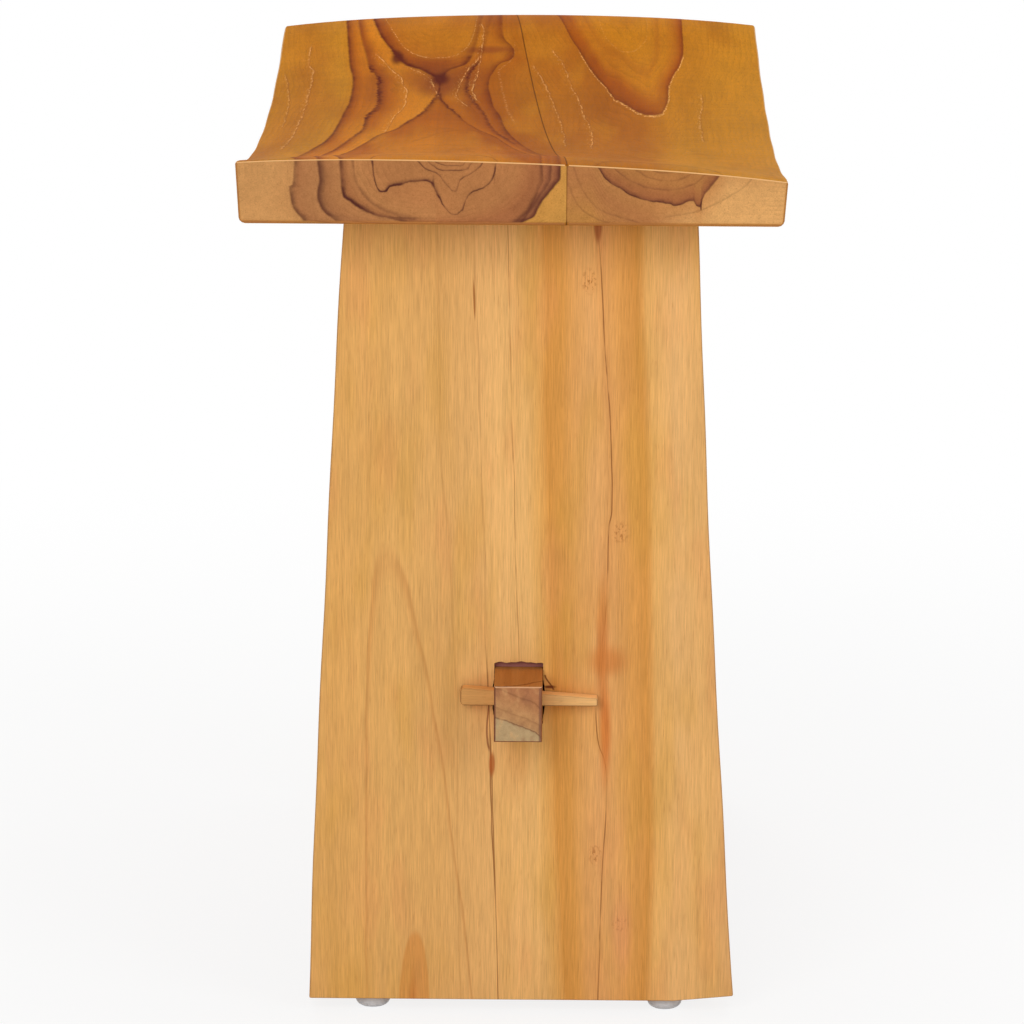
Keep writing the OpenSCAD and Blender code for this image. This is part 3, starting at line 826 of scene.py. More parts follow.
leftOfPithRight = [(0, 190, 121, 24), (20, 187, 116, 23), (26.5, 178, 103, 21), (30.5, 159, 80, 18),
                   (35, 149, 71, 14), (36.2, 151, 74, 15), (37.0, 168, 96, 21), (48, 167, 95, 22),
                   (60, 171, 100, 23), (110, 175, 105, 24)]
rightOfPithRight = [(0, 192, 123, 28), (26, 189, 118, 26), (31.5, 176, 101, 24), (35, 157, 78, 19),
                    (36.2, 159, 79, 19), (37.0, 184, 116, 28), (48, 185, 118, 29), (62, 189, 124, 31),
                    (100, 194, 130, 38)]
leftOfPithRightEnd = [(0, 170, 114, 63), (22, 170, 113, 63), (30, 158, 100, 59), (35.6, 150, 92, 57),
                      (37, 174, 118, 68), (50, 170, 112, 66), (66, 174, 117, 66), (80, 182, 126, 66),
                      (110, 182, 126, 66)]
rightOfPithRightEnd = [(0, 170, 114, 63), (22, 170, 113, 63), (30, 158, 100, 59), (35.6, 150, 92, 57),
                       (37, 186, 130, 76), (48, 196, 142, 86), (60, 208, 155, 95), (100, 212, 159, 99)]
rightLines = [(0, 36.0, 3.0, 0.8, 0.45, -260, 260), (0, 27.0, 1.2, 0.6, 0.30, -260, 260),
              (0, 18.0, 1.2, 0.6, 0.30, -260, 260), (0, 45.0, 1.4, 0.6, 0.20, -260, 260),
              (0, 53.0, 1.4, 0.6, 0.22, -260, 260), (-1, 62.0, 1.4, 0.6, 0.18, -260, 260)]
rightFlecks = [(0, 14.0, 0.6, 0.25, 160, 262)]
# the sapwood loop on the right board: x along y on both sides, y along x at its tip,
# and how deep its dark rim is
rightLoop = {
    "left": [(-254, 40), (60, 56), (100, 52), (116, 48.5), (132, 44.5), (159, 39), (180, 35), (204, 29.5),
             (254, 22)],
    "right": [(-254, 80), (40, 81), (62, 83), (87, 85), (106, 85.5), (119, 86.5), (141, 89.5), (165, 93.5),
              (196, 95.5), (254, 95.5)],
    "tip": [(40, 130), (46, 104), (49, 94), (52, 88), (58, 78), (62.5, 66), (69, 49.5), (75.5, 44),
            (80, 47), (83.5, 60), (86, 80), (92, 120)],
    "tipDepth": 6.5, "level": 36.3,
}
rightFrontLoop = [(40, 469), (44.5, 461.5), (48, 456.5), (55, 452), (61, 448.5), (69, 446), (80, 444.5),
                  (83, 443.5), (91.5, 446), (93.5, 443.5), (95.5, 443), (96.5, 447.5), (100, 452.5),
                  (105, 459), (110, 468)]
rightCoreRings = [
    (rightFrontLoop, ((3.0, 0.7, 0.55, 30, 120, 0.3), (1.1, 0.7, 0.75, 44, 97, 0.4))),
    ([(48, 467), (55, 459.5), (63, 454.5), (71, 452), (80, 451.5), (90, 453.5), (96, 457.5), (102, 466)],
     ((1.6, 0.7, 0.35, 30, 120, 0.3),)),
    ([(57, 466), (65, 460), (71, 457), (80, 456), (88, 458), (94, 464)], ((1.2, 0.6, 0.35, 30, 120, 0.3),)),
    ([(64, 466), (70, 461.5), (78, 460), (86, 462), (90, 466)], ((1.0, 0.5, 0.35, 30, 120, 0.2),)),
    ([(27, 456), (29, 453), (32.5, 445), (37, 440), (44, 436),
      (50, 434)], ((1.4, 0.7, 0.30, 28, 50, 0.3),)),
    ([(31, 463), (34.5, 454), (40, 445), (47, 440), (57, 436.5),
      (66, 434)], ((1.4, 0.7, 0.30, 28, 66, 0.3),)),
    ([(78, 437.5), (93.5, 440.5), (103.5, 444.5), (110.5, 448.5), (116.5, 452.5), (122, 458)],
     ((1.4, 0.7, 0.25, 78, 122, 0.3),)),
]
rightStripLoop = [(41, -260), (45, -246), (51, -236), (60, -231), (72, -229), (84, -229.5), (94, -233),
                  (101, -241), (107, -256)]
rightPaleStrokes = [
    ([(-89, 40.5), (-24, 42), (10, 40.5), (45, 37), (80, 34.5), (115, 30), (147, 26.5), (165, 23),
      (190, 17)],
     0.5, 0.7, -80, 180),
    ([(-79, 27.5), (-3, 25.5), (39, 23), (79, 19.5), (123, 14), (146, 9)], 0.6, 0.5, -70, 150),
    ([(-41, 102), (26, 102), (70, 104), (94, 104)], 0.7, 0.6, -40, 96),
]
# rings that show on the top where the front strip and the scoop cut them
leftTopRings = [(leftStripLoop, ((1.6, 0.8, 0.5, -80, 2, 0.3),)),
                (leftSoftArc, ((5.0, 2.0, 0.22, -56, -8, 0.6),))]
rightTopRings = [(rightStripLoop, ((4.0, 1.2, 0.35, 38, 112, 0.3),))]


def ringField(place, rings):
    parts = separate(place)
    given = {"Across": parts["X"], "Height": parts["Z"]}
    for socket, key in (("Pith Across", "pithAcross"), ("Pith Height", "pithHeight"), ("Spread", "spread")):
        given[socket] = curveOf(parts["Y"], rings[key])
    for socket, key in (("Upright", "upright"), ("Roundness", "roundness"), ("Side Blend", "sideBlend")):
        given[socket] = rings[key]
    found = useGroup(growthRings, given)
    drift = noiseAt(place, 30, 1.0, (1, 1.6, 1), 3.1) * rings["drift"]
    saw = noiseAt(place, 5, 2.0, (1, 1.3, 1), 9.7) * rings["saw"]
    return found["Ring"] + drift + saw, found["Right"], parts


# rings and pale flecks where the pattern is left as it falls
def drawRings(tone, place, ring, isRight, y, ends, rest, lines, flecks):
    sides = {-1: 1.0 - isRight, 0: 1.0, 1: isRight}
    patchy = patches(place, 20, 1.0, (1, 1, 1), 5.5, -0.5, 0.4, 0.55)
    dark = blendTint(ends, darkLine, darkLineEnd)
    for side, level, inner, outer, strength, low, high in lines:
        mask = lineMask(ring, level, inner, outer) * spanMask(y, low, high, 16.0)
        tone = blendTint(mask * sides[side] * patchy * rest * strength, tone, dark)
    dots = patches(place, 1.3, 1.0, (1, 1.2, 1), 1.9, -0.25, 0.35)
    for side, level, width, strength, low, high in flecks:
        mask = lineMask(ring, level, width, width) * spanMask(y, low, high, 14.0)
        tone = blendTint(mask * sides[side] * dots * strength, tone, paleFleck)
    return tone


# 1 on a sawn end, 0 on a face
def endMask(tree):
    return rescale(abs(separate(normalOf(tree))["Y"]), 0.75, 0.97)


# the arris round the top, but not along the glue line: a painted highlight with some rubbed wear where it
# faces up, and painted shade on the rounded edges elsewhere
def arrisHighlightAndShade(tone, fromSeam):
    normal = normalOf(tone.tree)
    rim = rimMask(normal, 0.14) * rescale(fromSeam, 0.8, 1.2)
    atTop = rescale(separate(normal)["Z"], 0.3, 0.5)
    # painted shade: every rounded edge made darker
    tone = blendTint(rim * 0.55, tone, (166, 112, 74))
    # painted highlight: the arrises that face up made pale
    return blendTint(rim * atTop * 0.85, tone, (238, 190, 132))


def finishSeat(tone, place, parts, top, ends, level):
    # thin yearly rings between the strong ones, here clear and there faint
    sway = noiseAt(place, 15, 2.0, (1, 1.5, 1), 7.3) * 1.1
    year = calc("FRACT", (level + sway) / seatGrain["ringSpacing"])
    clear = patches(place, 24, 2.0, (1, 1.5, 1), 4.9, -0.4, 0.7, 0.15)
    rings = (0.35 - year ** 2.5) * clear * seatGrain["ringDepth"]
    # painted light: the far part of the top made lighter, as it tilts toward the light
    glow = rescale(parts["Y"], 60, 240) * top * seatGrain["farGlow"]
    tone = shaded(tone, rings, glow)
    # the glue line
    seam = curveOf(parts["Y"], [(254 * u, seamAt(halfSeat * u) / mm) for u in (-1, -0.5, 0, 0.5, 1)])
    fromSeam = abs(parts["X"] - seam)
    strength = blendOf(ends, 0.6, rescale(parts["Z"], 452, 459, 0.22, 0.4))
    tone = blendTint(fading(fromSeam, 0.15, 0.6) * strength, tone, (72, 32, 14))
    # faint bands across the board, where the plane and the varnish brush went
    tone = shaded(tone, noiseAt(place, 4.5, 3.0, (7, 1, 7), 6.3) * seatGrain["crossDepth"])
    tone, rough, raised = grained(place, tone, seatGrain)
    varnish(arrisHighlightAndShade(tone, fromSeam), rough, raised, 0.06)


# signed distance from a drawn line, evened out where the line runs steeply
def strokeDistance(across, along, points):
    step = 0.8
    here = curveOf(along, points)
    slope = (curveOf(along + step, points) - here) / step
    return (across - here) / calc("SQRT", 1.0 + slope * slope)


# the lines of a figure as dark strokes over one face of the board
def drawStrokes(tone, across, along, figure, rows, face, place, dark):
    jagged = noiseAt(place, 4.2, 3.0, (1, 1, 1), 9.7)
    patchy = patches(place, 13, 2.0, (1, 1, 1), 5.5, -0.6, 0.3, 0.6)
    for name in figure:
        distance = strokeDistance(across, along, figure[name])
        for line, side, inner, outer, strength, low, high, rough in rows:
            if line == name:
                fade = (high - low) / 8 if high - low < 100 else 14.0
                mask = lineMask(distance * float(side) + jagged * rough, 0.0, inner, outer)
                span = spanMask(along, low, high, fade)
                tone = blendTint(mask * span * patchy * face * strength, tone, dark)
    return tone


# rings given one by one, their height (or y) along x
def drawCore(tone, across, along, rings, face, place, dark):
    jagged = noiseAt(place, 3.4, 3.0, (1, 1, 1), 3.3)
    patchy = patches(place, 9, 2.0, (1, 1, 1), 1.5, -0.6, 0.4, 0.5)
    for points, strokes in rings:
        distance = strokeDistance(across, along, points) * -1.0
        for inner, outer, strength, low, high, rough in strokes:
            mask = lineMask(distance + jagged * rough, 0.0, inner, outer) * spanMask(along, low, high, 2.0)
            tone = blendTint(mask * patchy * face * strength, tone, dark)
    return tone


# a row of open pores: its reddish shade, its pale dashes, and strays beside them
def drawPale(tone, parts, rows, face, place):
    dashes = patches(place, 1.5, 1.0, (1, 4, 1), 1.9, -0.2, 0.3, 0.12)
    strays = patches(place, 0.9, 1.0, (1, 7, 1), 4.4, 0.35, 0.6, 0.0, 0.5)
    sway = noiseAt(place, 9, 2.0, (1, 1.5, 1), 8.1) * 0.7
    for points, width, strength, low, high in rows:
        distance = strokeDistance(parts["X"], parts["Y"], points) + sway
        near = spanMask(parts["Y"], low, high, 12.0) * face
        shade = lineMask(distance, 0.6, width * 2, width) * near * 0.35
        pores = lineMask(distance, 0.0, width * 2, width * 1.3) * near * dashes * strength
        others = lineMask(distance, -1.0, 4.5, 4.5) * near * strays * strength * 0.6
        tone = blendTint(shade, tone, (128, 62, 26))
        tone = blendTint(pores, tone, paleFleck)
        tone = blendTint(others, tone, paleFleck)
    return tone


# the ring value where a figure is drawn: each line keeps its own ring, the rings between are spread evenly
def drawnLevel(across, along, figure, ring):
    at = {name: curveOf(along, points) for name, points in figure.items()}
    outside = larger(across < at["crossLeft"], across > at["crossRight"])
    cross = figureLevels["cross"]
    level = blendOf(outside, smaller(ring, cross - 0.3), cross)
    for hand in ("Left", "Right"):
        low = cross
        for inner, outer in (("cross", "jagged"), ("jagged", "edge")):
            high = figureLevels[outer + hand]
            level = level + rescale(across, at[inner + hand], at[outer + hand], 0.0, high - low, "LINEAR")
            low = high
    level = level + larger(at["edgeLeft"] - across, 0.0)
    return level + larger(across - at["edgeRight"], 0.0), outside


# masks of the seat's top and its front end, and what is left
def seatFaces(parts, ends):
    top = rescale(separate(normalOf(ends.tree))["Z"], 0.45, 0.6)
    frontEnd = ends * (parts["Y"] < 0.0)
    return top, frontEnd, calc("SUBTRACT", 1.0 - top, frontEnd, clamp=True)


def seatLeftTeak():
    material, tree = newMaterial("seatLeftTeak")
    place = millimetres(tree)
    ring, isRight, parts = ringField(place, leftRings)
    x, y, z = parts["X"], parts["Y"], parts["Z"]
    bulge = blendOf(isRight, curveOf(y, leftRings["leftBulge"]), curveOf(y, leftRings["rightBulge"]))
    ring = ring - bulge * rescale(ring, 52, 68)
    ends = endMask(tree)
    top, frontEnd, rest = seatFaces(parts, ends)
    topLevel, outside = drawnLevel(x, y, leftTopFigure, ring)
    frontLevel = drawnLevel(x, z, leftFrontFigure, ring)[0]
    level = blendOf(frontEnd, blendOf(top, ring, topLevel), frontLevel)
    face = blendTint(isRight, toneAlong(level, leftOfPithNear), toneAlong(level, rightOfPithNear))
    farLoop = rescale(y, 120, 134) * (1.0 - outside) * top
    face = blendTint(farLoop, face, toneAlong(level, insideFarLoop))
    sawn = blendTint(isRight, toneAlong(level, leftOfPithEnd), toneAlong(level, rightOfPithEnd))
    face = blendTint(rest * 0.4, hueDrift(face, place, seatGrain), seatGrain["side"])
    tone = blendTint(ends, face, sawn)
    tone = drawRings(tone, place, ring, isRight, y, ends, rest, leftLines, leftFlecks)
    for centre, size, strength in leftRedHalos:
        tone = blendTint(spotMask(x, y, centre, size, 0.8) * top * strength, tone, (132, 64, 26))
    tone = drawStrokes(tone, x, y, leftTopFigure, leftTopStrokes, top, place, darkLine)
    tone = drawStrokes(tone, x, z, leftFrontFigure, leftFrontStrokes, frontEnd, place, darkLineEnd)
    tone = drawCore(tone, z, x, leftCoreRings, frontEnd, place, darkLineEnd)
    tone = drawCore(tone, y, x, leftTopRings, top, place, darkLine)
    for centre, size, strength in leftDarkSpots:
        tone = blendTint(spotMask(x, y, centre, size, 0.75) * top * strength, tone, darkLine)
    tone = drawPale(tone, parts, leftPaleStrokes, top, place)
    finishSeat(tone, place, parts, top, ends, level)
    return material


def seatRightTeak():
    material, tree = newMaterial("seatRightTeak")
    place = millimetres(tree)
    ring, isRight, parts = ringField(place, rightRings)
    x, y, z = parts["X"], parts["Y"], parts["Z"]
    ends = endMask(tree)
    top, frontEnd, rest = seatFaces(parts, ends)
    fromTip = (y - curveOf(x, rightLoop["tip"])) / rightLoop["tipDepth"]
    fromLeft = x - curveOf(y, rightLoop["left"])
    fromRight = curveOf(y, rightLoop["right"]) - x
    within = smaller(fromTip, smaller(fromLeft, fromRight))
    topLevel = rightLoop["level"] - within
    inFront = z - curveOf(x, rightFrontLoop)
    frontLevel = rightLoop["level"] - inFront * 1.4
    level = blendOf(frontEnd, blendOf(top, ring, topLevel), frontLevel)
    face = blendTint(isRight, toneAlong(level, leftOfPithRight), toneAlong(level, rightOfPithRight))
    sawn = blendTint(isRight, toneAlong(level, leftOfPithRightEnd), toneAlong(level, rightOfPithRightEnd))
    face = blendTint(rest * 0.4, hueDrift(face, place, seatGrain), seatGrain["side"])
    tone = blendTint(ends, face, sawn)
    tone = drawRings(tone, place, ring, isRight, y, ends, rest, rightLines, rightFlecks)
    rim = within * -1.0 + noiseAt(place, 3.4, 3.0, (1, 1, 1), 3.3) * 0.5
    dashes = patches(place, 1.4, 1.0, (1, 3, 1), 1.9, -0.3, 0.2, 0.25)
    thread = lineMask(rim, 0.8, 0.9, 0.6) * spanMask(y, 30, 175, 14.0) * top * dashes
    tone = blendTint(lineMask(rim, 0.0, 2.2, 0.6) * top * 0.5, tone, darkLine)
    tone = blendTint(lineMask(rim, -15.0, 5.0, 5.0) * top * 0.3, tone, (150, 74, 24))
    tone = blendTint(thread * 0.9, tone, paleFleck)
    tone = drawCore(tone, z, x, rightCoreRings, frontEnd, place, darkLineEnd)
    tone = drawCore(tone, y, x, rightTopRings, top, place, darkLine)
    tone = drawPale(tone, parts, rightPaleStrokes, top, place)
    finishSeat(tone, place, parts, top, ends, level)
    return material


# a leg stave, cut to the leg's side on one hand and to the glue line on the other
legSize = {
    "topWidth": 0.182, "footWidth": 0.226, "topMiddle": 0.0046, "footMiddle": 0.0069, "bow": 0.0014,
    "staveTop": -0.020, "staveFoot": -0.005, "trimRise": 0.003, "trimRun": 0.032,
    "rows": 28, "arris": 0.0011, "footArris": 0.0008, "lump": 0.00035,
}
hair = 1e-4   # two places nearer than this are the same


def legSide(side, t):
    middle = mix(legSize["footMiddle"], legSize["topMiddle"], t) - legSize["bow"] * 4 * t * (1 - t)
    return middle + side * mix(legSize["footWidth"], legSize["topWidth"], t) / 2


def legSeam(t):
    return mix(legSize["staveFoot"], legSize["staveTop"], t)


def buildStave(end, side, node, name):
    low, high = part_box(node)
    foot, top = low[2], high[2]
    stave = block(name, (0, low[1], foot), (1, high[1], top))
    sliceAcross(stave, 2, stations(foot, top, legSize["rows"]))
    if side == right:
        sliceAcross(stave, 0, [1 - legSize["trimRun"] / (legSide(right, 0) - legSeam(0))])

    def moved(x, y, z):
        t = (z - foot) / (top - foot)
        lump = legSize["lump"] * (math.sin(z * 61 + side * 2 + end) + math.sin(z * 23 + end)) * 0.5
        edge = legSide(side, t) + side * (lump - legSize["lump"])
        if side == right and x > 0.999 and z < foot + 1e-5:
            z = z + legSize["trimRise"]
        return mix(legSeam(t), edge, x), y, z

    shapeBy(stave, moved)
    if side == left:
        lone(stave)
        bpy.ops.object.mode_set(mode="EDIT")
        bpy.ops.mesh.select_all(action="SELECT")
        bpy.ops.mesh.flip_normals()
        bpy.ops.object.mode_set(mode="OBJECT")

    def arris(middle, along):
        t = (middle.z - foot) / (top - foot)
        if middle.z > top - hair or abs(middle.x - legSeam(t)) < 0.0015:
            return 0
        return legSize["arris"] if abs(along.z) > 0.7 else legSize["footArris"]

    roundEdges(stave, arris, legSize["arris"])
    return stave


# the mortise is chopped by hand: it bulges at two places beside the tenon, and its top is uneven
mortise = {
    "left": -0.0080, "right": 0.0176, "foot": 0.1593, "tenonTop": 0.1895, "top": 0.1933, "step": 0.0035,
    "slitMiddle": 0.1735, "slitReach": 0.0105, "slitDepth": 0.0011, "rows": 26, "columns": 20,
    "past": 0.01,   # how far a cutter reaches out of the wood
}


def cutMortise(stave, low, high):
    hole = block("hole", (mortise["left"], low[1] - mortise["past"], mortise["foot"]),
                 (mortise["right"], high[1] + mortise["past"], mortise["tenonTop"]))
    sliceAcross(hole, 2, stations(mortise["foot"], mortise["tenonTop"], mortise["rows"]))
    middle, half = (mortise["left"] + mortise["right"]) / 2, (mortise["right"] - mortise["left"]) / 2

    def bulged(x, y, z):
        across = (x - middle) / half
        slit = max(0, 1 - ((z - mortise["slitMiddle"]) / mortise["slitReach"]) ** 2) * mortise["slitDepth"]
        if abs(across) > 0.99:
            x = x + across * (slit + 0.00012 * math.sin(z * 2900 + across))
        return x, y, z

    # how much the top of the opening rises
    def lift(across):
        waves = 0.0003 * math.sin(across * 6 + 1) + 0.0002 * math.sin(across * 15)
        return waves - 0.0009 * abs(across) ** 8 - 0.0004

    def raised(x, y, z):
        return x, y, z + (lift((x - middle) / half) if z > mortise["top"] - 1e-5 else 0)

    shapeBy(hole, bulged)
    carve(stave, hole)
    # the opening is a little taller than the tenon at both faces
    for face, inward in ((low[1], 1), (high[1], -1)):
        near, far = sorted((face - inward * mortise["past"], face + inward * mortise["step"]))
        step = block("step", (mortise["left"], near, mortise["tenonTop"] - 0.002),
                     (mortise["right"], far, mortise["top"]))
        sliceAcross(step, 0, stations(mortise["left"], mortise["right"], mortise["columns"]))
        shapeBy(step, raised)
        carve(stave, step)


legGrain = {
    "streak": 2.2, "fine": 0.5, "length": 60.0, "streakDepth": 0.07, "fineDepth": 0.13, "blotchDepth": 0.05,
    "pores": 0.20, "poreTint": (166, 102, 50), "rough": 0.5,
    "yellow": (200, 148, 64), "rose": (214, 146, 90),
}
# a spot: its centre, half size, softness, strength and tint
# a thread: its x along z, its sharp half width, its soft half width and its tint
legLeft = {
    # cathedral figure: the middle leans left going up, and the rings lie deeper there
    "middle": (-46.0, -0.07), "depth": (28.6, 0.047), "spacing": 4.4, "contrast": 0.035,
    "mainRing": 40.5, "mainRingTint": (176, 112, 58),
    "flame": ((-49.0, 4.0), (8.5, 43.0), 0.12, 0.75, (208, 140, 72)),
    "flameCore": ((-50.5, 0.0), (3.4, 30.0), 0.8, 0.6, (186, 106, 50)),
    "check": ((-19.2, 386.0), (0.6, 13.0), 0.5, 0.8, (150, 88, 42)),
    "darkThread": ([(7, -25), (219, -29.6), (259, -32.1), (328, -36.7),
                    (430, -38)], 0.1, 0.9, (160, 104, 52)),
    "split": ([(140, -9.9), (144.5, -10.4), (150, -11.3), (157.6, -11.9), (165, -11.5), (172, -10.7),
               (176, -10.5)],
              0.2, 0.7, (116, 56, 36)),
    "tone": [(-120, 219, 166, 102), (-92, 214, 160, 92), (-60, 217, 165, 98), (-35, 214, 162, 97),
             (-22, 218, 166, 102), (-8, 222, 170, 106)],
}
crackLine = [(7, 47.9), (40, 48.6), (90, 50.2), (118, 51.2), (140, 49.5), (165, 45.2), (185, 46),
             (206, 48.9), (227, 50.5), (266, 51), (276, 52.2), (306, 51.8), (341, 49.8), (371, 47.4),
             (405, 45.8), (424, 44.2)]
legRight = {
    "lean": 0.0337, "spreadUp": 0.0003, "leanMiddle": 17.0,
    "tone": [(-8, 222, 169, 105), (5, 225, 173, 108), (20, 223, 172, 106), (26, 218, 163, 92),
             (29.5, 214, 154, 82), (31.5, 206, 143, 70), (38, 209, 147, 74), (44, 217, 158, 92),
             (50, 219, 162, 100), (57, 217, 158, 94), (64, 214, 152, 82), (72, 206, 143, 71),
             (74.2, 210, 150, 80), (76.6, 222, 168, 98), (88, 225, 174, 112), (105, 220, 168, 103),
             (122, 215, 163, 106)],
    # halfway up, the dark bands stand further apart
    "bulgeUp": [(7, 0), (60, 0.6), (115, 1), (240, 1), (330, 0.6), (400, 0), (434, 0)],
    "bulgeAcross": [(10, 0), (31, 2.6), (50, 0), (73, -3.2), (95, 0)],
    "crackHalo": (crackLine, 0.5, 4.0, (196, 124, 62)),
    "crack": (crackLine, 0.1, 0.5, (120, 70, 36)),
    "thread": ([(160, 5.6), (195, 4.8), (307, 1.2), (417, -1.9), (434, -2.4)], 0.1, 0.45, (146, 92, 48)),
    "splinter": ([(178, 22.9), (179.5, 22.3), (181, 21.3), (183, 19.9), (184.8, 18.9), (187, 18.4)],
                 0.2, 0.7, (104, 58, 36)),
    "knot": ((44.5, 427.0), (3.0, 14.0), 0.5, 0.85, (140, 62, 36)),
    "pinKnots": [((40, 396), (6, 9)), ((57, 263), (6, 8)), ((45.7, 88), (5, 8)), ((59, 50), (6, 6))],
    "pinKnotTint": (214, 150, 90), "crumbTint": (160, 94, 46),
    "stains": [((51, 194), (15, 12), 0.8, 0.9, (204, 130, 68)),
               ((48.6, 206), (4.6, 46), 0.8, 0.8, (202, 122, 60)),
               ((50, 156), (4.4, 40), 0.8, 0.95, (200, 118, 58)),
               ((60, 45), (8, 32), 0.8, 0.4, (220, 146, 102)),
               ((21, 179.6), (4.6, 1.3), 0.8, 0.95, (110, 54, 30))],
    # painted shade for the inside of the mortise
    "mortiseTint": (158, 104, 96),
}
legSeamLine = ([(7, legSize["staveFoot"] / mm), (434, legSize["staveTop"] / mm)], 0.15, 0.6, (128, 74, 38))
seamStain = ((-9.0, 137.5), (1.9, 8.5), 0.6, 0.8, (170, 88, 42))


def drawSpot(tone, across, up, spot):
    centre, size, softness, strength, colour = spot
    return blendTint(spotMask(across, up, centre, size, softness) * strength, tone, colour)


def drawThread(tone, across, up, thread, *strengths):
    points, sharp, soft, colour = thread
    mask = fading(abs(across - curveOf(up, points)), sharp, soft)
    for strength in strengths:
        mask = mask * strength
    return blendTint(mask, tone, colour)


# the same log runs through both legs; the back one is cut from it the other way round
def legFace(tree, end, size, stretch, shift, sway):
    parts = separate(millimetres(tree))
    depth = abs(parts["Y"]) - 211.0
    across = parts["X"] + depth * (0.1 if end == front else -0.22)
    place = combine(across, parts["Z"], parts["Y"])
    return place, across + noiseAt(place, size, 2.0, (1, stretch, 1), shift) * sway, parts["Z"]


# the glue line between the staves, reddest just under the mortise, and the grain
def finishLeg(tone, place, across, up):
    seamDark = rescale(up, 200, 178, 0.22, 0.8)
    tone = drawThread(hueDrift(tone, place, legGrain), across, up, legSeamLine, seamDark)
    tone, rough, raised = grained(place, drawSpot(tone, across, up, seamStain), legGrain)
    # with painted shade on the rounded edges
    return paintedEdgeShade(tone), rough, raised


# painted shade: rounded edges darkened where they turn away from the light
def paintedEdgeShade(tone, strength=0.5, colour=(150, 108, 78)):
    return blendTint(rimMask(normalOf(tone.tree), 0.15) * strength, tone, colour)


def legLeftTeak(name, end):
    material, tree = newMaterial(name)
    place, across, up = legFace(tree, end, 16, 4, 2.2, 1.2)
    tone = toneAlong(across, legLeft["tone"])
    middle, deep = (up * rise + start for start, rise in (legLeft["middle"], legLeft["depth"]))
    off = across - middle
    ring = calc("SQRT", off * off + deep * deep)
    phase = calc("FRACT", ring / legLeft["spacing"])
    tone = shaded(tone, (0.4 - phase ** 3.0) * legLeft["contrast"])
    main = lineMask(ring, legLeft["mainRing"], 1.3, 0.5) * rescale(up, 262, 236) * 0.4
    tone = blendTint(main, tone, legLeft["mainRingTint"])
    tone = drawSpot(tone, across, up, legLeft["flame"])
    tone = drawSpot(tone, across, up, legLeft["flameCore"])
    tone = drawThread(tone, across, up, legLeft["darkThread"], 0.2)
    tone = drawSpot(tone, across, up, legLeft["check"])
    tone = drawThread(tone, across, up, legLeft["split"], spanMask(up, 145, 171, 4.0), 0.8)
    varnish(*finishLeg(tone, place, across, up), 0.05)
    return material


def legRightTeak(name, end):
    material, tree = newMaterial(name)
    place, across, up = legFace(tree, end, 14, 5, 6.1, 0.7)
    rate = legRight["lean"] - (across - legRight["leanMiddle"]) * legRight["spreadUp"]
    atFoot = across + up * rate
    atFoot = atFoot + curveOf(up, legRight["bulgeUp"]) * curveOf(atFoot, legRight["bulgeAcross"])
    tone = toneAlong(atFoot, legRight["tone"])
    broken = patches(place, 9, 2.0, (1, 2, 1), 8.3, -0.7, 0.1, 0.35)
    openness = 0.8 - spanMask(up, 166, 203, 8.0) * 0.7
    tone = drawThread(tone, across, up, legRight["crackHalo"], 0.18)
    tone = drawThread(tone, across, up, legRight["crack"], broken, openness)
    tone = drawThread(tone, across, up, legRight["thread"], rescale(up, 150, 200), broken, 0.55)
    tone = drawSpot(tone, across, up, legRight["knot"])
    crumbs = patches(place, 1.5, 2.0, (1, 1.5, 1), 3.7, 0.1, 0.5)
    for centre, size in legRight["pinKnots"]:
        swirl = spotMask(across, up, centre, size, 0.9)
        tone = blendTint(swirl * 0.35, tone, legRight["pinKnotTint"])
        tone = blendTint(swirl * crumbs * 0.75, tone, legRight["crumbTint"])
    for stain in legRight["stains"]:
        tone = drawSpot(tone, across, up, stain)
    tone = drawThread(tone, across, up, legRight["splinter"], spanMask(up, 178, 186, 0.8), 0.85)
    tone, rough, raised = finishLeg(tone, place, across, up)
    # painted shade: the inside of the mortise coloured dark purple-brown, as the gap in shadow
    within = spanMask(abs(separate(place)["Z"]), 183.3, 210.7, 0.3) * spanMask(across, -20, 30, 0.5)
    tone = blendTint(within * spanMask(up, 157, 196, 0.5), tone, legRight["mortiseTint"])
    varnish(tone, rough, raised, 0.05)
    return material


def dowelWood(base=(205, 168, 116)):
    material, tree = newMaterial("dowelWood")
    parts = separate(millimetres(tree))
    place = combine(parts["X"], parts["Z"], parts["Y"])
    tones = [(at, *[c * gain for c in base]) for at, gain in ((-1, 0.93), (0, 1), (1, 1.04))]
    tone = toneAlong(noiseAt(place, 9, 3.0, (1, 9, 1), 2.0), tones)
    tone, rough, raised = grained(place, tone, legGrain)
    # painted shade on the dowel's rounded edges
    varnish(paintedEdgeShade(tone, 0.4, (140, 92, 62)), rough, raised, 0.05)
    return material


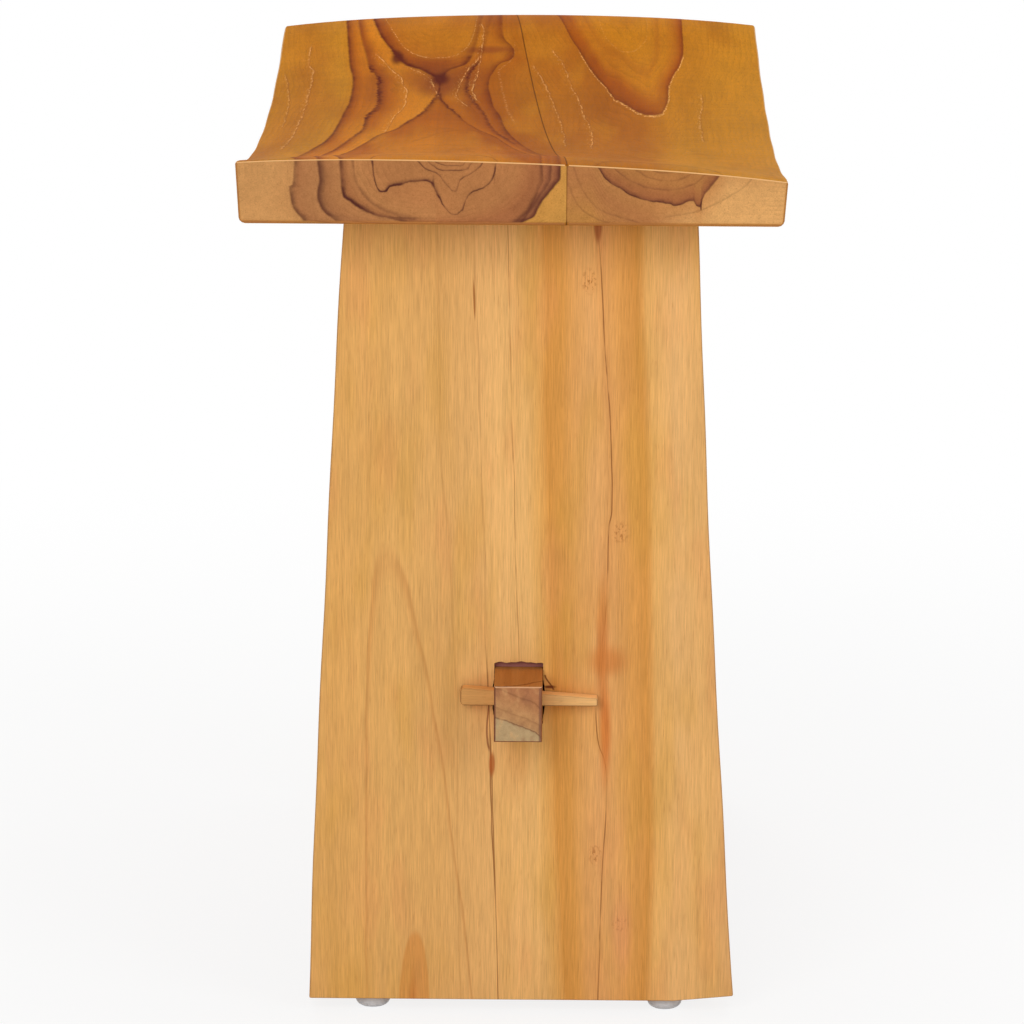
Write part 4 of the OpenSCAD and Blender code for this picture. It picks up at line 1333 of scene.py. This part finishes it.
# rail with a tenon at each end, slotted for the wedges
rail = {
    "tenonWidth": 0.025, "tenonHeight": 0.030, "arris": 0.002, "tenonArris": 0.0004, "endBevel": 0.0013,
    "shoulder": 0.183, "middle": 0.0048, "tenonMiddle": 0.1743,
}
railTones = {
    "long": [(-1, 166, 104, 50), (0, 182, 118, 60), (1, 194, 130, 68)],
    "heart": [(-2, 174, 130, 88), (2, 172, 126, 84), (7, 184, 134, 88), (12, 176, 122, 80),
              (20, 172, 114, 76)],
    "sap": (176, 148, 108), "ringTint": (112, 68, 46),
    # painted shade for the tenon's rounded edges, painted highlight for its top edge
    "edgeTint": (104, 66, 60), "topEdgeTint": (222, 176, 136),
    "smoke": (140, 92, 66), "haze": (204, 156, 104), "topMark": (96, 48, 26),
    # where the pale sapwood ends, as height over x, seen on the tenon's end
    "sapEdge": [(-8, 173.4), (-1, 171.3), (6, 168.5), (12, 166.3), (17.5, 161.8)],
    "rings": [(0.0, 1.4, 0.5, 0.75), (5.0, 1.6, 0.8, 0.25), (15.2, 1.4, 1.0, 0.4)],
    # a dark curve on the tenon's top: distance from the bench's middle over x
    "topCurve": [(-3, 246.2), (3, 245), (8, 242.4), (13, 238), (17, 235)],
}
railGrain = dict(legGrain, fineDepth=0.05, pores=0.25, poreTint=(110, 62, 34), length=40.0)


def railTeak():
    material, tree = newMaterial("railTeak")
    place = millimetres(tree)
    x, y, z = separate(place).values()
    tone = toneAlong(noiseAt(place, 7, 2.0, (1, 14, 1), 4.0), railTones["long"])
    height = z - curveOf(x, railTones["sapEdge"]) + noiseAt(place, 5, 2.0, (1, 1, 1), 2.6) * 0.7
    sawn = blendTint(rescale(height, -0.8, 0.9), railTones["sap"], toneAlong(height, railTones["heart"]))
    for level, inner, outer, strength in railTones["rings"]:
        sawn = blendTint(lineMask(height, level, inner, outer) * strength, sawn, railTones["ringTint"])
    smoky = noiseAt(place, 4.5, 3.0, (1, 1, 1.6), 7.4)
    sawn = blendTint(rescale(smoky, 0.0, 0.9, 0.0, 0.45), sawn, railTones["smoke"])
    sawn = blendTint(rescale(smoky, -0.1, -0.9, 0.0, 0.45), sawn, railTones["haze"])
    # painted shade: purple strips on the chamfered sides of the tenon's end
    fromSide = x - rail["middle"] / mm
    sides = larger(rescale(fromSide, 10.4, 11.2, 0.0, 0.6), rescale(fromSide, -11.2, -11.9, 0.0, 0.6))
    sawn = blendTint(sides, sawn, railTones["edgeTint"])
    fromMiddle = abs(y)
    mark = strokeDistance(fromMiddle, x, railTones["topCurve"]) + smoky * 0.5
    tone = blendTint(lineMask(mark, 0.0, 0.7, 1.6) * 0.7, tone, railTones["topMark"])
    tone = blendTint(endMask(tree), tone, sawn)
    normal = normalOf(tree)
    upward = rescale(separate(normal)["Z"], 0.3, 0.5)
    # painted highlight on the edges that face up, painted shade on the others
    edge = blendTint(upward, railTones["edgeTint"], railTones["topEdgeTint"])
    atTenonEnd = rescale(fromMiddle, 243.5, 245)
    tone, rough, raised = grained(place, tone, railGrain)
    # painted highlight and painted shade on the rim of the tenon's end
    tone = blendTint(rimMask(normal, 0.12) * atTenonEnd * 0.8, tone, edge)
    varnish(tone, rough, raised, 0.06)
    return material


wedgeTones = {
    "along": [(-40, 198, 144, 84), (-15, 208, 154, 92), (10, 222, 172, 110), (42, 226, 176, 114)],
    # painted shade for the wedge's edges and painted light on its top
    "edgeTint": (112, 68, 40), "topGain": 0.3,
}
wedgeGrain = dict(legGrain, streak=1.6, streakDepth=0.06, fineDepth=0.06, length=30.0)


def wedgeWood():
    material, tree = newMaterial("wedgeWood")
    x, y, z = separate(millimetres(tree)).values()
    facing = calc("SIGN", y * -1.0)
    tone = toneAlong((x - rail["middle"] / mm) * facing, wedgeTones["along"])
    tone, rough, raised = grained(combine(y, x, z), tone, wedgeGrain)
    normal = normalOf(tree)
    upward = separate(normal)["Z"]
    # painted light: the top of the wedge made lighter
    tone = shaded(tone, rescale(upward, 0.6, 0.95) * wedgeTones["topGain"])
    # painted shade: the rounded edges darker, less so on top
    rim = rimMask(normal, 0.12) * rescale(upward, 0.1, 0.6, 1.0, 0.3)
    varnish(blendTint(rim * 0.75, tone, wedgeTones["edgeTint"]), rough, raised, 0.06)
    return material


def buildRail():
    low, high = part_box("stretcher")
    piece = block("rail", (low[0], -rail["shoulder"], low[2]), (high[0], rail["shoulder"], high[2]))
    for axis, middle, size in ((0, "middle", "tenonWidth"), (2, "tenonMiddle", "tenonHeight")):
        sliceAcross(piece, axis, [rail[middle] - rail[size] / 2, rail[middle] + rail[size] / 2])
    for end, reach in ((front, low[1]), (back, high[1])):
        def tenonFace(face):
            offX, offZ = face.center.x - rail["middle"], face.center.z - rail["tenonMiddle"]
            return max(abs(offX), abs(offZ)) < 0.003 and face.normal.y * end > 0.9

        editFaces(piece, tenonFace)
        extrude((0, reach - end * rail["shoulder"], 0))
        bpy.ops.object.mode_set(mode="OBJECT")

    def arris(middle, along):
        fromMiddle = abs(middle.y)
        if fromMiddle > high[1] - hair:
            return rail["endBevel"]
        if fromMiddle > rail["shoulder"] + hair:
            return rail["tenonArris"]
        return rail["arris"] if fromMiddle < rail["shoulder"] - hair else 0

    roundEdges(piece, arris, rail["arris"])
    for end, word in bothEnds:
        cutWedgeSlot(piece, end, f"{word}_wedge")
    return piece


wedge = {
    "thick": 0.0098, "thin": 0.0046, "round": 0.0026, "arris": 0.0011, "rows": 18,
    "gap": 0.0003, "faceRoom": 0.0003, "backRoom": 0.0010, "past": 0.004,
}


# the wedge's slope over its length, with room all round where it is the slot's cutter
def slopeWedge(piece, end, low, high, room=0.0):
    base, height = low[2], high[2] - low[2]
    headX, tipX = (low[0], high[0]) if end == front else (high[0], low[0])

    def moved(x, y, z):
        tall = mix(wedge["thick"], wedge["thin"], (x - headX) / (tipX - headX))
        return x, y, base - room + (tall + 2 * room) * (z - base) / height

    shapeBy(piece, moved)
    return headX


def cutWedgeSlot(piece, end, node):
    low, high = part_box(node)
    inner, outer = (high[1], low[1]) if end == front else (low[1], high[1])
    near, far = sorted((outer + end * wedge["faceRoom"], inner - end * wedge["backRoom"]))
    half = rail["tenonWidth"] / 2 + wedge["past"]
    cutter = block("slot", (rail["middle"] - half, near, low[2]), (rail["middle"] + half, far, high[2]))
    slopeWedge(cutter, end, low, high, wedge["gap"])
    carve(piece, cutter)


def buildWedge(end, node, name):
    low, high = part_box(node)
    piece = block(name, low, high)
    sliceAcross(piece, 0, stations(low[0], high[0], wedge["rows"]))
    headX = slopeWedge(piece, end, low, high)

    def arris(middle, along):
        atHead = abs(middle.x - headX) < hair and abs(along.y) > 0.7
        return wedge["round"] if atHead else wedge["arris"]

    roundEdges(piece, arris, wedge["round"])
    return piece


glide = {"rim": 0.0032, "flat": 0.010, "steps": 7, "sides": 64}


def buildGlide(node, name):
    low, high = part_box(node)
    middle = Vector((a + b) / 2 for a, b in zip(low, high))
    radius, flatRadius = (high[0] - low[0]) / 2, glide["flat"] / 2
    dome = high[2] - glide["rim"]
    bpy.ops.object.select_all(action="DESELECT")
    bpy.ops.mesh.primitive_cylinder_add(vertices=glide["sides"], radius=radius, depth=glide["rim"],
                                        location=(middle.x, middle.y, high[2] - glide["rim"] / 2))
    piece = bpy.context.active_object
    piece.name = name
    bpy.ops.object.transform_apply(location=True, rotation=True, scale=True)
    editFaces(piece, lambda face: face.normal.z < -0.9)
    width, depth = radius, 0.0
    for step in range(1, glide["steps"] + 1):
        angle = math.pi / 2 * step / glide["steps"]
        newWidth = flatRadius + (radius - flatRadius) * math.cos(angle)
        newDepth = dome * math.sin(angle)
        extrude((0, 0, depth - newDepth))
        ratio = newWidth / width
        bpy.ops.transform.resize(value=(ratio, ratio, 1),
                                 center_override=(middle.x, middle.y, dome - newDepth))
        width, depth = newWidth, newDepth
    bpy.ops.object.mode_set(mode="OBJECT")
    return piece


# the smooth finish of the glides and nails: dark and light tone, lump size, roughness and shine
def moulded(name, tones, lumps, rough, depth, shine):
    material, tree = newMaterial(name)
    mottle = noiseAt(millimetres(tree), lumps)
    return material, varnish(toneAlong(mottle, tones), rough, mottle, depth, shine)


for side, node, name, teak in ((left, "seat_board_left", "seatBoardLeft", seatLeftTeak),
                               (right, "seat_board_right", "seatBoardRight", seatRightTeak)):
    board = buildSeatBoard(side, name)
    cutHousings(board)
    dress(board, teak(), "seat_teak", node)
print("seat boards made")

for end, word in bothEnds:
    for side, hand, teak in ((left, "Left", legLeftTeak), (right, "Right", legRightTeak)):
        node = f"{word}_leg_{hand.lower()}_stave"
        stave = buildStave(end, side, node, f"{word}Leg{hand}Stave")
        if side == right:
            low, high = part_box(node)
            cutMortise(stave, low, high)
        dress(stave, teak(f"{word}Leg{hand}Teak", end), "leg_teak", node)
print("legs made")

dress(buildRail(), railTeak(), "rail_teak", "stretcher")
wedgeMaterial = wedgeWood()
for end, node, name in ((front, "front_wedge", "frontWedge"), (back, "back_wedge", "backWedge")):
    dress(buildWedge(end, node, name), wedgeMaterial, "wedge_wood", node)
print("rail and wedges made")

plastic = moulded("glidePlastic", [(-1, 196, 195, 197), (1, 208, 208, 210)], 3, 0.42, 0.02, 0.4)[0]
for node in ("front_left_glide", "front_right_glide", "back_left_glide", "back_right_glide"):
    words = node.split("_")
    dress(buildGlide(node, words[0] + words[1].capitalize() + "Glide"), plastic, "glide_plastic", node)

steel, shader = moulded("nailSteel", [(-1, 150, 152, 155), (1, 175, 176, 178)], 1, 0.35, 0.01, 0.5)
shader.inputs["Metallic"].default_value = 1.0
dowelMaterial = dowelWood()
for node, thing in frame["nodes"].items():
    if "dowels" in node or "nails" in node:
        thing.data.materials.clear()
        thing.data.materials.append(steel if "nails" in node else dowelMaterial)
print("glides, dowels and nails made")
